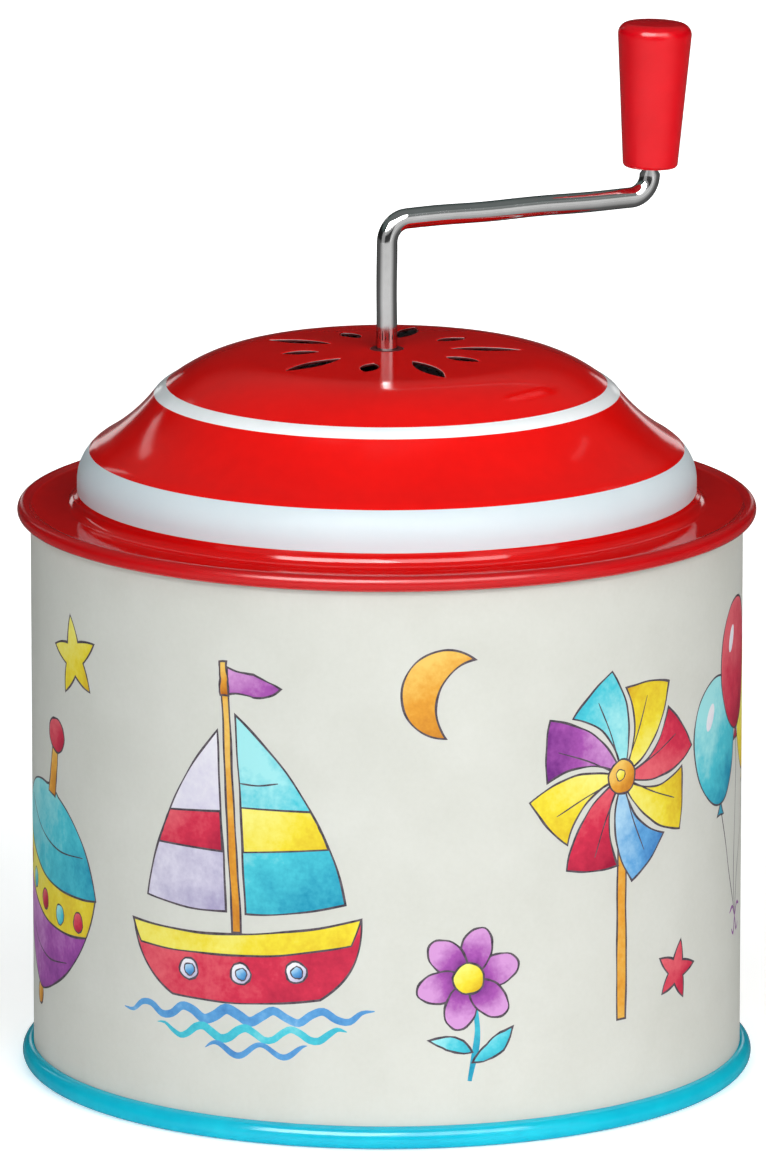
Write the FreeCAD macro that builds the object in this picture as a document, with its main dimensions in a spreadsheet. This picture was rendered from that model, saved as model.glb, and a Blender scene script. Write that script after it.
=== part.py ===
import FreeCAD, Part
import Sketcher
import math
import os

V = FreeCAD.Vector
doc = FreeCAD.newDocument("tin_music_box")

# ---------------------------------------------------------------- dimensions
sheet = doc.addObject("Spreadsheet::Sheet", "Dims")


class Q:
    """A number together with the sheet expression it comes from."""

    def __init__(self, value, text):
        self.v = float(value)
        self.t = text

    @staticmethod
    def of(x):
        return x if isinstance(x, Q) else Q(x, "%.6f" % float(x))

    def __add__(self, o):
        o = Q.of(o)
        return Q(self.v + o.v, "(%s + %s)" % (self.t, o.t))

    __radd__ = __add__

    def __sub__(self, o):
        o = Q.of(o)
        return Q(self.v - o.v, "(%s - %s)" % (self.t, o.t))

    def __rsub__(self, o):
        o = Q.of(o)
        return Q(o.v - self.v, "(%s - %s)" % (o.t, self.t))

    def __mul__(self, o):
        o = Q.of(o)
        return Q(self.v * o.v, "(%s * %s)" % (self.t, o.t))

    __rmul__ = __mul__

    def __truediv__(self, o):
        o = Q.of(o)
        return Q(self.v / o.v, "(%s / %s)" % (self.t, o.t))

    def __neg__(self):
        return Q(-self.v, "(0 - %s)" % self.t)


class Dims:
    pass


D = Dims()
row = [0]


def dim(alias, value, note):
    row[0] += 1
    sheet.set("A%d" % row[0], alias)
    sheet.set("B%d" % row[0], repr(float(value)))
    sheet.set("C%d" % row[0], note)
    sheet.setAlias("B%d" % row[0], alias)
    setattr(D, alias, Q(value, "Dims.%s" % alias))


# tin case
dim("tin_gauge", 0.28, "sheet thickness of can, lid and base")
dim("can_radius", 36.15, "outer radius of the can wall")
dim("can_foot", 0.62, "lower edge of the can, inside the base bead")
dim("can_foot_flange", 36.50, "radius of the lower out-turned flange")
dim("can_top", 57.48, "top of the upper out-turned flange")
dim("can_top_flange", 36.70, "radius of the upper flange")
dim("seam_width", 3.2, "width of the lock seam")
dim("bead_mid_radius", 36.15, "centre radius of the base bead")
dim("bead_height", 2.30, "height of the base bead")
dim("rest_inner", 34.60, "inner radius of the flat resting ring")
dim("sink_radius", 33.90, "outer radius of the recessed wall of the base")
dim("disc_level", 2.00, "underside of the recessed base disc")
dim("emboss_inner", 19.0, "inner radius of the pressed ring in the base disc")
dim("emboss_outer", 24.0, "outer radius of the pressed ring in the base disc")
dim("emboss_rise", 0.60, "rise of the pressed ring")

# lid
dim("crown_top", 74.00, "apex of the dome")
dim("crown_radius", 240.0, "radius of the flat crown")
dim("shoulder_start_r", 14.0, "where the shoulder begins, radius")
dim("shoulder_radius", 14.98, "radius of the dome shoulder")
dim("ring_up_r", 22.35, "upper edge of the thin ring, radius")
dim("ring_up_z", 70.44, "upper edge of the thin ring, height")
dim("ring_bulge", 3.40, "profile radius of the thin ring")
dim("ring_low_r", 23.60, "lower edge of the thin ring, radius")
dim("ring_low_z", 69.50, "lower edge of the thin ring, height")
dim("flare_radius", 20.0, "profile radius of the hollow flare")
dim("flare_end_r", 29.426, "lower end of the flare, radius")
dim("flare_end_z", 64.31, "lower end of the flare, height")
dim("band_radius", 31.43, "radius of the upright band")
dim("band_round", 4.40, "profile radius at the top of the band")
dim("band_round_z", 60.62, "lower end of the rounded band top")
dim("band_foot_z", 59.38, "lower end of the upright band")
dim("gutter_in_r", 32.63, "inner end of the gutter floor, radius")
dim("gutter_in_z", 58.18, "inner end of the gutter floor, height")
dim("gutter_out_r", 35.75, "lowest line of the gutter, radius")
dim("gutter_out_z", 58.17, "lowest line of the gutter, height")
dim("curl_mid_r", 36.675, "centre radius of the rolled rim")
dim("curl_mid_z", 57.675, "centre height of the rolled rim")
dim("curl_size", 0.825, "outer profile radius of the rolled rim")
dim("bush_hole", 1.72, "radius of the hole in the top of the dome")
dim("petal_in", 6.3, "inner tip of the long sound slots")
dim("petal_out", 13.9, "outer tip of the long sound slots")
dim("petal_arc", 7.60, "side radius of the long sound slots")
dim("bud_in", 6.9, "inner tip of the short sound slots")
dim("bud_out", 10.7, "outer tip of the short sound slots")
dim("bud_arc", 2.40, "side radius of the short sound slots")

# crank and knob
dim("wire_radius", 1.05, "radius of the crank wire")
dim("rod_foot", 43.2, "lower end of the crank wire")
dim("arm_level", 87.20, "centre height of the crank arm")
dim("bend_radius", 2.25, "centreline radius of the bends")
dim("crank_reach", 29.90, "distance from shaft to knob leg at arm level")
dim("leg_lean", 2.0, "outward lean of the knob leg, degrees")
dim("crank_azimuth", 26.5, "rest direction of the arm, degrees")
dim("pin_radius", 0.75, "radius of the knob pin")
dim("pin_start", 2.80, "start of the thin pin above the arm centre")
dim("pin_length", 16.2, "end of the pin above the arm centre")
dim("pin_groove", 0.60, "radius of the snap groove in the pin")
dim("groove_start", 13.4, "start of the snap groove above the arm centre")
dim("groove_wide", 1.2, "width of the snap groove")
dim("knob_gap", 3.05, "knob underside above the arm centre")
dim("knob_length", 14.97, "length of the knob")
dim("knob_foot_r", 2.79, "radius of the knob at its foot")
dim("knob_head_r", 3.78, "radius of the knob near its top")
dim("knob_round", 1.10, "shoulder radius of the knob")
dim("knob_crown", 32.0, "radius of the slightly domed knob top")
dim("knob_bore", 0.80, "bore radius of the knob")
dim("knob_bore_deep", 13.55, "depth of the knob bore")
dim("knob_rib", 0.67, "inner radius of the snap rib")
dim("bush_bore", 1.10, "bore radius of the crank bush")

# movement
dim("plate_low", 57.50, "underside of the movement plate")
dim("plate_gauge", 0.34, "thickness of the movement plate")
dim("plate_radius", 36.58, "radius of the movement plate")
dim("frame_low", 55.20, "underside of the movement frame")
dim("frame_gauge", 2.27, "thickness of the movement frame")
dim("worm_pitch", 2.40, "axial pitch of the worm")
dim("worm_root", 2.00, "root radius of the worm")
dim("worm_tip", 3.20, "tip radius of the worm")
dim("worm_journal_low", 1.50, "radius of the lower worm journal")
dim("worm_journal_top", 1.80, "radius of the upper worm journal")
dim("wheel_teeth", 16, "teeth of the worm wheel")
dim("wheel_tip", 6.60, "tip radius of the worm wheel")
dim("wheel_root", 5.38, "root radius of the worm wheel")
dim("wheel_face", 2.50, "face width of the worm wheel")
dim("axis_offset", 8.76, "distance from crank axis to cylinder axis")
dim("axis_level", 47.0, "height of the cylinder axis")
dim("arbor_radius", 1.0, "radius of the cylinder arbor")
dim("drum_radius", 5.0, "outer radius of the pinned drum")
dim("drum_wall", 0.6, "wall of the pinned drum")
dim("drum_start", 2.6, "left end of the drum")
dim("drum_end", 18.8, "right end of the drum")
dim("pin_tip", 5.70, "tip radius of the drum pins")
dim("comb_start", 2.8, "left edge of the comb")
dim("comb_pitch", 1.04, "tooth pitch of the comb")
dim("comb_count", 15, "teeth of the comb")
dim("comb_slit", 0.22, "slit between comb teeth")
dim("comb_tip", 14.61, "tips of the comb teeth")
dim("comb_heel", 21.5, "front of the comb heel")
dim("comb_back", 28.8, "back edge of the comb")
dim("bracket_gauge", 1.0, "thickness of the bearing brackets")
doc.recompute()


# ------------------------------------------------------------------- helpers
def plane(body, role):
    return [f for f in body.Origin.OriginFeatures if f.Role == role][0]


def new_body(label):
    body = doc.addObject("PartDesign::Body", "B_" + label)
    body.Label = label
    return body


def new_sketch(body, name, role):
    sk = body.newObject("Sketcher::SketchObject", name)
    sk.AttachmentSupport = [(plane(body, role), "")]
    sk.MapMode = "FlatFace"
    return sk


def bind(obj, prop, q):
    q = Q.of(q)
    setattr(obj, prop, q.v)
    if "Dims." in q.t:
        obj.setExpression(prop, q.t)


def fix(sk, con, q):
    """Add a dimensional constraint and bind it to its expression."""
    i = sk.addConstraint(con)
    if "Dims." in q.t:
        sk.setExpression("Constraints[%d]" % i, q.t)


def place_point(sk, geo, pos, x, y):
    x = Q.of(x)
    if abs(x.v) < 1e-9:
        sk.addConstraint(Sketcher.Constraint("PointOnObject", geo, pos, -2))
    else:
        fix(sk, Sketcher.Constraint("DistanceX", -1, 1, geo, pos, x.v), x)
    if y is None:
        return
    y = Q.of(y)
    if abs(y.v) < 1e-9:
        sk.addConstraint(Sketcher.Constraint("PointOnObject", geo, pos, -1))
    else:
        fix(sk, Sketcher.Constraint("DistanceY", -1, 1, geo, pos, y.v), y)


def outline(sk, pts, arcs=None, wide=(), domes=None):
    """Closed outline. pts: list of (x, y). arcs: {index: (radius, side)} makes
    the edge that leaves point index an arc that bulges to its left (+1) or to
    its right (-1). Edges listed in wide run the long way round. domes: {index:
    centre height} keeps the centre of an arc on the vertical axis, so that the
    arc sets the height of its two ends."""
    arcs = arcs or {}
    domes = domes or {}
    pts = [(Q.of(a), Q.of(c)) for a, c in pts]
    n = len(pts)
    ends = []
    for i in range(n):
        a = V(pts[i][0].v, pts[i][1].v, 0)
        c = V(pts[(i + 1) % n][0].v, pts[(i + 1) % n][1].v, 0)
        if i not in arcs:
            ends.append((sk.addGeometry(Part.LineSegment(a, c), False), 1, 2))
            continue
        rad, side = Q.of(arcs[i][0]), arcs[i][1]
        ch = c - a
        left = V(-ch.y, ch.x, 0) / ch.Length
        depth = math.sqrt(max(rad.v * rad.v - ch.Length * ch.Length / 4.0, 0.0))
        if i in wide:
            depth = -depth
        o = (a + c) / 2.0 - left * (depth * side)
        if i in domes:
            o = V(0.0, domes[i].v, 0.0)
        circ = Part.Circle(o, V(0, 0, 1), rad.v)
        aa = math.atan2(a.y - o.y, a.x - o.x)
        ac = math.atan2(c.y - o.y, c.x - o.x)
        if side > 0:          # bulges left: runs clockwise from a to c
            while aa <= ac:
                aa += 2 * math.pi
            ends.append((sk.addGeometry(Part.ArcOfCircle(circ, ac, aa), False), 2, 1))
        else:
            while ac <= aa:
                ac += 2 * math.pi
            ends.append((sk.addGeometry(Part.ArcOfCircle(circ, aa, ac), False), 1, 2))
    for i in range(n):
        g, s, e = ends[i]
        g2, s2, e2 = ends[(i + 1) % n]
        sk.addConstraint(Sketcher.Constraint("Coincident", g, e, g2, s2))
    free = set()
    for i in domes:
        free.update((i, (i + 1) % n))
    for i in range(n):
        place_point(sk, ends[i][0], ends[i][1], pts[i][0], None if i in free else pts[i][1])
    for i in arcs:
        rad = Q.of(arcs[i][0])
        fix(sk, Sketcher.Constraint("Radius", ends[i][0], rad.v), rad)
    for i in domes:
        sk.addConstraint(Sketcher.Constraint("PointOnObject", ends[i][0], 3, -2))
        fix(sk, Sketcher.Constraint("DistanceY", -1, 1, ends[i][0], 3, domes[i].v), domes[i])


def circle(sk, x, y, r):
    x, y, r = Q.of(x), Q.of(y), Q.of(r)
    g = sk.addGeometry(Part.Circle(V(x.v, y.v, 0), V(0, 0, 1), r.v), False)
    if abs(x.v) < 1e-9 and abs(y.v) < 1e-9:
        sk.addConstraint(Sketcher.Constraint("Coincident", g, 3, -1, 1))
    else:
        place_point(sk, g, 3, x, y)
    fix(sk, Sketcher.Constraint("Radius", g, r.v), r)


def box(sk, x0, y0, x1, y1):
    outline(sk, [(x0, y0), (x1, y0), (x1, y1), (x0, y1)])


def lift(sk, q):
    """Raise a sketch above its plane by a sheet value."""
    q = Q.of(q)
    sk.AttachmentOffset = FreeCAD.Placement(V(0, 0, q.v), FreeCAD.Rotation())
    if "Dims." in q.t:
        sk.setExpression("AttachmentOffset.Base.z", q.t)


def revolve(body, name, sk):
    rev = body.newObject("PartDesign::Revolution", name)
    rev.Profile = sk
    rev.ReferenceAxis = (sk, ["V_Axis"])
    rev.Angle = 360.0
    doc.recompute()
    return rev


def pad(body, name, sk, length, reverse=False, both=False):
    p = body.newObject("PartDesign::Pad", name)
    p.Profile = sk
    bind(p, "Length", length)
    p.Reversed = reverse
    if both:
        p.SideType = "Symmetric"
    doc.recompute()
    return p


def volume_of(body):
    return body.Tip.Shape.Volume if body.Tip is not None else 0.0


def pocket(body, name, sk, length=None, reverse=False, both=False):
    before = volume_of(body)
    p = body.newObject("PartDesign::Pocket", name)
    p.Profile = sk
    if length is None:
        p.Type = "ThroughAll"
    else:
        bind(p, "Length", length)
    p.Reversed = reverse
    if both:
        p.SideType = "Symmetric"
    doc.recompute()
    if p.Shape.Volume > before - 1e-5:
        raise RuntimeError("pocket %s removed nothing" % name)
    return p


def polar(body, name, feature, axis, count, angle=360.0):
    pat = body.newObject("PartDesign::PolarPattern", name)
    pat.Originals = [feature]
    pat.Axis = axis
    pat.Angle = angle
    pat.Occurrences = count
    body.Tip = pat
    doc.recompute()
    return pat


def spin(x, y, deg):
    """Rotate a sheet-bound point about the origin by a fixed angle."""
    c, s = math.cos(math.radians(deg)), math.sin(math.radians(deg))
    return Q.of(x) * c - Q.of(y) * s, Q.of(x) * s + Q.of(y) * c


nodes = []


def done(obj):
    nodes.append(obj)
    return obj


# ----------------------------------------------------------------- can body
b = new_body("can_body")
sk = new_sketch(b, "can_profile", "XZ_Plane")
ro, ri = D.can_radius, D.can_radius - D.tin_gauge
outline(sk, [
    (ri, D.can_foot), (D.can_foot_flange, D.can_foot),
    (D.can_foot_flange, D.can_foot + D.tin_gauge), (ro, D.can_foot + D.tin_gauge),
    (ro, D.can_top - D.tin_gauge), (D.can_top_flange, D.can_top - D.tin_gauge),
    (D.can_top_flange, D.can_top), (ri, D.can_top)])
revolve(b, "can_wall", sk)
sk = new_sketch(b, "seam_strip", "XY_Plane")
lift(sk, 2.6)
hw = D.seam_width / 2.0
box(sk, -hw, D.can_radius - 0.70, hw, D.can_radius - 0.12)
pad(b, "seam_fold", sk, 54.2)
sk = new_sketch(b, "seam_line", "XY_Plane")
lift(sk, 2.6)
box(sk, hw - 0.16, D.can_radius - 0.13, hw, D.can_radius + 0.30)
pocket(b, "seam_groove", sk, 54.2, reverse=True)
done(b)

# --------------------------------------------------------------------- base
b = new_body("base")
sk = new_sketch(b, "base_profile", "XZ_Plane")
t = D.tin_gauge
R = D.bead_height / 2.0
lip = D.can_radius + 0.02


def on_bead(rad):
    """Upper height where the bead circle reaches the can wall."""
    k = lip.v - D.bead_mid_radius.v
    return R + math.sqrt(rad.v * rad.v - k * k)


up = D.disc_level
outline(sk, [
    (0.0, up), (D.emboss_inner, up),
    (D.emboss_inner + 0.8, up + D.emboss_rise), (D.emboss_outer - 0.8, up + D.emboss_rise),
    (D.emboss_outer, up), (D.sink_radius - t - 0.5, up),
    (D.sink_radius - t, up - 0.5), (D.sink_radius - t, 0.7),
    (D.rest_inner, 0.0), (D.bead_mid_radius, 0.0),
    (lip, on_bead(R)), (lip, on_bead(R - t)),
    (D.bead_mid_radius, t), (D.rest_inner + 0.02, t),
    (D.sink_radius, 0.7), (D.sink_radius, up - 0.22),
    (D.sink_radius - 0.5, up + t), (D.emboss_outer + 0.1, up + t),
    (D.emboss_outer - 0.7, up + D.emboss_rise + t), (D.emboss_inner + 0.7, up + D.emboss_rise + t),
    (D.emboss_inner - 0.1, up + t), (0.0, up + t)],
    {5: (0.5, 1), 7: (D.rest_inner - D.sink_radius + t, -1), 9: (R, -1), 11: (R - t, 1),
     13: (D.rest_inner - D.sink_radius, 1), 15: (0.5, -1)})
revolve(b, "base_pressing", sk)
done(b)

# ---------------------------------------------------------------------- lid
b = new_body("lid")
sk = new_sketch(b, "lid_profile", "XZ_Plane")
curl_a, curl_b = 138.0, -112.0
ca, sa = math.cos(math.radians(curl_a)), math.sin(math.radians(curl_a))
cb, sb = math.cos(math.radians(curl_b)), math.sin(math.radians(curl_b))


def crown_level(r, rad):
    """Height of the crown, or of its inner face, at a radius."""
    mid = D.crown_top.v - D.crown_radius.v
    return Q.of(mid + math.sqrt(rad * rad - r * r))


outer = [
    (D.bush_hole, crown_level(D.bush_hole.v, D.crown_radius.v), ("arc", D.crown_radius, 1)),
    (D.shoulder_start_r, crown_level(D.shoulder_start_r.v, D.crown_radius.v), ("arc", D.shoulder_radius, 1)),
    (D.ring_up_r, D.ring_up_z, ("arc", D.ring_bulge, 1)),
    (D.ring_low_r, D.ring_low_z, ("arc", D.flare_radius, -1)),
    (D.flare_end_r, D.flare_end_z, ("arc", D.band_round, 1)),
    (D.band_radius, D.band_round_z, None),
    (D.band_radius, D.band_foot_z, ("arc", D.gutter_in_r - D.band_radius, -1)),
    (D.gutter_in_r, D.gutter_in_z, None),
    (D.gutter_out_r, D.gutter_out_z, None),
    (D.curl_mid_r + D.curl_size * ca, D.curl_mid_z + D.curl_size * sa, ("arc", D.curl_size, 1)),
    (D.curl_mid_r + D.curl_size * cb, D.curl_mid_z + D.curl_size * sb, None),
]


def edge_normals(path):
    """Left-hand unit normals at the start and end of every edge of a path."""
    out = []
    for i in range(len(path) - 1):
        a = V(path[i][0].v, path[i][1].v, 0)
        c = V(path[i + 1][0].v, path[i + 1][1].v, 0)
        ch = c - a
        left = V(-ch.y, ch.x, 0) / ch.Length
        kind = path[i][2]
        if kind is None:
            out.append((left, left))
        else:
            rad, side = Q.of(kind[1]).v, kind[2]
            half = ch.Length / 2.0
            mid = (a + c) / 2.0
            # a rolled rim is the long way round
            depth = math.sqrt(max(rad * rad - half * half, 0.0))
            long_way = (i == len(path) - 2)
            o = mid - left * (depth * side * (-1 if long_way else 1))
            out.append(((a - o) / rad * side, (c - o) / rad * side))
    return out


norm = edge_normals(outer)
inner = []
for i, p in enumerate(outer):
    if i == 0:
        m = V(0.0, 1.0, 0)
    elif i == len(outer) - 1:
        m = norm[-1][1]
    else:
        n1, n2 = norm[i - 1][1], norm[i][0]
        s = n1 + n2
        m = s / (1.0 + n1.dot(n2))
    inner.append((p[0] - D.tin_gauge * m.x, p[1] - D.tin_gauge * m.y))
for i in (0, 1):
    inner[i] = (inner[i][0], crown_level(inner[i][0].v, D.crown_radius.v - D.tin_gauge.v))
pts = [(p[0], p[1]) for p in outer] + list(reversed(inner))
arcs = {}
k = len(outer)
for i, p in enumerate(outer):
    if p[2] is not None:
        rad, side = Q.of(p[2][1]), p[2][2]
        arcs[i] = (rad, side)
        arcs[2 * k - 2 - i] = ((rad - D.tin_gauge * side), -side)


crown_mid = D.crown_top - D.crown_radius
outline(sk, pts, arcs, {k - 2, k}, {0: crown_mid, 2 * k - 2: crown_mid})
revolve(b, "lid_pressing", sk)


def leaf(sk, r0, r1, arc, deg):
    """Pointed slot lying along a radius."""
    p0, p1 = spin(r0, 0.0, deg), spin(r1, 0.0, deg)
    outline(sk, [p0, p1], {0: (arc, 1), 1: (arc, 1)})


sk = new_sketch(b, "long_slot", "XY_Plane")
leaf(sk, D.petal_in, D.petal_out, D.petal_arc, 6.5)
cut = pocket(b, "long_slot_cut", sk, None, reverse=True)
polar(b, "long_slots", cut, (sk, ["N_Axis"]), 5)
sk = new_sketch(b, "short_slot", "XY_Plane")
leaf(sk, D.bud_in, D.bud_out, D.bud_arc, 42.5)
cut = pocket(b, "short_slot_cut", sk, None, reverse=True)
polar(b, "short_slots", cut, (sk, ["N_Axis"]), 5)
done(b)

# --------------------------------------------------------------- crank bush
b = new_body("crank_bush")
sk = new_sketch(b, "crank_bush_profile", "XZ_Plane")
z0 = D.crown_top
outline(sk, [
    (D.bush_bore, z0 - 1.45), (3.2, z0 - 1.45), (3.2, z0 - 0.36), (D.bush_hole - 0.04, z0 - 0.36),
    (D.bush_hole - 0.04, z0 - 0.02), (D.bush_hole - 0.14, z0 + 0.06), (D.bush_bore, z0 + 0.06)])
revolve(b, "crank_bush_turning", sk)
done(b)

# ----------------------------------------------------------- crank retainer
b = new_body("crank_retainer")
sk = new_sketch(b, "retainer_profile", "XZ_Plane")
outline(sk, [
    (D.wire_radius + 0.01, z0 - 2.45), (2.9, z0 - 2.45), (2.9, z0 - 1.75), (D.wire_radius + 0.01, z0 - 1.75)])
revolve(b, "retainer_ring", sk)
sk = new_sketch(b, "retainer_slit", "XY_Plane")
box(sk, D.wire_radius - 0.2, -0.2, 2.2, 0.2)
cut = pocket(b, "retainer_slit_cut", sk, None, reverse=True)
polar(b, "retainer_slits", cut, (sk, ["N_Axis"]), 3)
done(b)

# ---------------------------------------------------------------- crank rod
b = new_body("crank_rod")
lean = math.radians(D.leg_lean.v)
tl = D.bend_radius.v * math.tan((math.pi / 2 - lean) / 2)
zr, za, br = D.rod_foot, D.arm_level, D.bend_radius
arm_end = D.crank_reach - br * (tl / br.v)


def bend(body, name, role, level, cx, cy, axis_x, axis_y, angle, reverse):
    """Quarter-torus bend of the wire about a line parallel to Y."""
    s = new_sketch(body, name + "_section", role)
    lift(s, level)
    circle(s, cx, cy, D.wire_radius)
    ax, ay = Q.of(axis_x), Q.of(axis_y)
    if role == "XY_Plane":
        ends = [(ax, Q.of(-4.0)), (ax, Q.of(4.0))]
    else:
        ends = [(Q.of(-4.0), ay), (Q.of(4.0), ay)]
    g = s.addGeometry(Part.LineSegment(V(ends[0][0].v, ends[0][1].v, 0), V(ends[1][0].v, ends[1][1].v, 0)), True)
    place_point(s, g, 1, ends[0][0], ends[0][1])
    place_point(s, g, 2, ends[1][0], ends[1][1])
    before = volume_of(body)
    rev = body.newObject("PartDesign::Revolution", name)
    rev.Profile = s
    rev.ReferenceAxis = (s, ["Axis0"])
    rev.Angle = angle
    rev.Reversed = reverse
    doc.recompute()
    want = math.pi * D.wire_radius.v ** 2 * br.v * math.radians(angle)
    if abs(rev.Shape.Volume - before - want) > 0.02 * want:
        raise RuntimeError("bend %s runs the wrong way" % name)
    return rev


sk = new_sketch(b, "rod_shaft_section", "XY_Plane")
lift(sk, zr)
circle(sk, 0.0, 0.0, D.wire_radius)
pad(b, "rod_shaft", sk, za - br - zr)
bend(b, "rod_lower_bend", "XY_Plane", za - br, 0.0, 0.0, br, 0.0, 90.0, False)
sk = new_sketch(b, "rod_arm_section", "YZ_Plane")
lift(sk, br)
circle(sk, 0.0, za, D.wire_radius)
pad(b, "rod_arm", sk, arm_end - br)
bend(b, "rod_upper_bend", "YZ_Plane", arm_end, 0.0, za, 0.0, za + br, 90.0 - D.leg_lean.v, True)
sk = new_sketch(b, "pin_profile", "XZ_Plane")
sk.AttachmentOffset = FreeCAD.Placement(
    V(D.crank_reach.v, za.v, 0), FreeCAD.Rotation(V(0, 0, 1), -D.leg_lean.v))
sk.setExpression("AttachmentOffset.Base.x", D.crank_reach.t)
sk.setExpression("AttachmentOffset.Base.y", za.t)
gs = D.groove_start
outline(sk, [
    (0.0, tl), (D.wire_radius, tl), (D.wire_radius, tl + 0.15), (D.pin_radius, D.pin_start),
    (D.pin_radius, gs), (D.pin_groove, gs + 0.15), (D.pin_groove, gs + D.groove_wide - 0.15),
    (D.pin_radius, gs + D.groove_wide), (D.pin_radius, D.pin_length - 0.3),
    (D.pin_radius - 0.3, D.pin_length), (0.0, D.pin_length)])
revolve(b, "rod_pin", sk)
sk = new_sketch(b, "rod_flat", "XY_Plane")
lift(sk, D.rod_foot - 0.5)
sk.AttachmentOffset = FreeCAD.Placement(
    V(0, 0, D.rod_foot.v - 0.5), FreeCAD.Rotation(V(0, 0, 1), -D.crank_azimuth.v))
box(sk, -2.0, 0.66, 2.0, 2.0)
pocket(b, "rod_flat_cut", sk, 9.0, reverse=True)
b.Placement = FreeCAD.Placement(V(0, 0, 0), FreeCAD.Rotation(V(0, 0, 1), D.crank_azimuth.v))
done(b)

# --------------------------------------------------------------------- knob
b = new_body("knob")
sk = new_sketch(b, "knob_profile", "XZ_Plane")
L, rf, rh, kr = D.knob_length, D.knob_foot_r, D.knob_head_r, D.knob_round
rib = D.groove_start - D.knob_gap
bd = D.knob_bore_deep
crown_sag = D.knob_crown.v - math.sqrt(D.knob_crown.v ** 2 - (rh.v - 1.12) ** 2)
outline(sk, [
    (D.knob_bore + 0.25, 0.0), (rf - 0.40, 0.0), (rf + 0.03, 0.42),
    (rh, L - 1.22), (rh - 1.12, L - crown_sag), (0.0, L),
    (0.0, bd + 0.25), (D.knob_bore - 0.25, bd), (D.knob_bore, bd - 0.25),
    (D.knob_bore, rib + 1.15), (D.knob_rib, rib + 0.95), (D.knob_rib, rib + 0.25), (D.knob_bore, rib + 0.05),
    (D.knob_bore, 0.25)],
    {1: (0.44, -1), 3: (kr + 0.06, -1), 4: (D.knob_crown, -1)}, (), {4: L - D.knob_crown})
revolve(b, "knob_moulding", sk)
az = math.radians(D.crank_azimuth.v)
axis = V(math.sin(lean) * math.cos(az), math.sin(lean) * math.sin(az), math.cos(lean))
foot = V(D.crank_reach.v * math.cos(az), D.crank_reach.v * math.sin(az), za.v)
b.Placement = FreeCAD.Placement(foot + axis * D.knob_gap.v, FreeCAD.Rotation(V(0, 0, 1), axis))
done(b)

# --------------------------------------------------------------------- worm
b = new_body("worm")
sk = new_sketch(b, "worm_profile", "XZ_Plane")
zc = D.axis_level
outline(sk, [
    (0.0, zc - 8.7), (D.worm_journal_low - 0.3, zc - 8.7), (D.worm_journal_low, zc - 8.4), (D.worm_journal_low, zc - 6.4),
    (D.worm_root, zc - 6.4), (D.worm_root, zc + 6.2), (D.worm_journal_top + 0.5, zc + 6.2),
    (D.worm_journal_top + 0.5, zc + 6.9), (D.worm_journal_top, zc + 6.9),
    (D.worm_journal_top, zc + 10.15), (0.0, zc + 10.15)])
revolve(b, "worm_core", sk)
sk = new_sketch(b, "worm_thread_section", "XZ_Plane")
start = zc - D.worm_pitch * 2.25
outline(sk, [
    (D.worm_root - 0.25, start - 0.56), (D.worm_root, start - 0.56), (D.worm_tip, start - 0.20),
    (D.worm_tip, start + 0.20), (D.worm_root, start + 0.56), (D.worm_root - 0.25, start + 0.56)])
doc.recompute()
hx = b.newObject("PartDesign::AdditiveHelix", "worm_thread")
hx.Profile = sk
hx.ReferenceAxis = (sk, ["V_Axis"])
hx.Mode = 0
bind(hx, "Pitch", D.worm_pitch)
bind(hx, "Height", D.worm_pitch * 4.0)
doc.recompute()
sk = new_sketch(b, "worm_bore", "XY_Plane")
lift(sk, D.rod_foot - 0.2)
bore = D.wire_radius + 0.02
fl = 0.68
hx_ = math.sqrt(bore.v ** 2 - fl ** 2)
gl = sk.addGeometry(Part.LineSegment(V(hx_, fl, 0), V(-hx_, fl, 0)), False)
ga = sk.addGeometry(Part.ArcOfCircle(Part.Circle(V(0, 0, 0), V(0, 0, 1), bore.v),
                                     math.atan2(fl, -hx_), math.atan2(fl, hx_) + 2 * math.pi), False)
sk.addConstraint(Sketcher.Constraint("Coincident", ga, 3, -1, 1))
sk.addConstraint(Sketcher.Constraint("Coincident", gl, 2, ga, 1))
sk.addConstraint(Sketcher.Constraint("Coincident", gl, 1, ga, 2))
sk.addConstraint(Sketcher.Constraint("Horizontal", gl))
fix(sk, Sketcher.Constraint("Radius", ga, bore.v), bore)
sk.addConstraint(Sketcher.Constraint("DistanceY", -1, 1, gl, 1, fl))
doc.recompute()
pocket(b, "worm_bore_d", sk, 8.4, reverse=True)
sk = new_sketch(b, "worm_bore_top", "XY_Plane")
lift(sk, D.rod_foot + 8.0)
circle(sk, 0.0, 0.0, bore)
pocket(b, "worm_bore_round", sk, None, reverse=True)
worm_turn = 0.0
done(b)

# ---------------------------------------------------------------- worm wheel
b = new_body("worm_wheel")
sk = new_sketch(b, "wheel_disc", "YZ_Plane")
circle(sk, 0.0, 0.0, D.wheel_tip)
disc = pad(b, "wheel_blank", sk, D.wheel_face, both=True)
wheel_axis = (sk, ["N_Axis"])
sk = new_sketch(b, "wheel_gap", "YZ_Plane")
wr, wt = D.wheel_root, D.wheel_tip
outline(sk, [(-wr, -0.40), (-wr, 0.40), (-wt, 0.76), (-wt - 0.8, 1.02), (-wt - 0.8, -1.02), (-wt, -0.76)])
gap = b.newObject("PartDesign::Pocket", "wheel_gap_cut")
gap.Profile = sk
gap.Length = 8.0
gap.SideType = "Symmetric"
gap.UseCustomVector = True
lead = D.worm_pitch.v / (2 * math.pi * 2.65)
gap.Direction = V(1.0, 0.0, -lead)
doc.recompute()
polar(b, "wheel_teeth", gap, wheel_axis, int(D.wheel_teeth.v))
sk = new_sketch(b, "wheel_hub_ring", "YZ_Plane")
circle(sk, 0.0, 0.0, 2.4)
pad(b, "wheel_hub", sk, D.drum_start - 0.05)
sk = new_sketch(b, "wheel_bore", "YZ_Plane")
circle(sk, 0.0, 0.0, D.arbor_radius + 0.01)
pocket(b, "wheel_bore_cut", sk, None, both=True)
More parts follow.
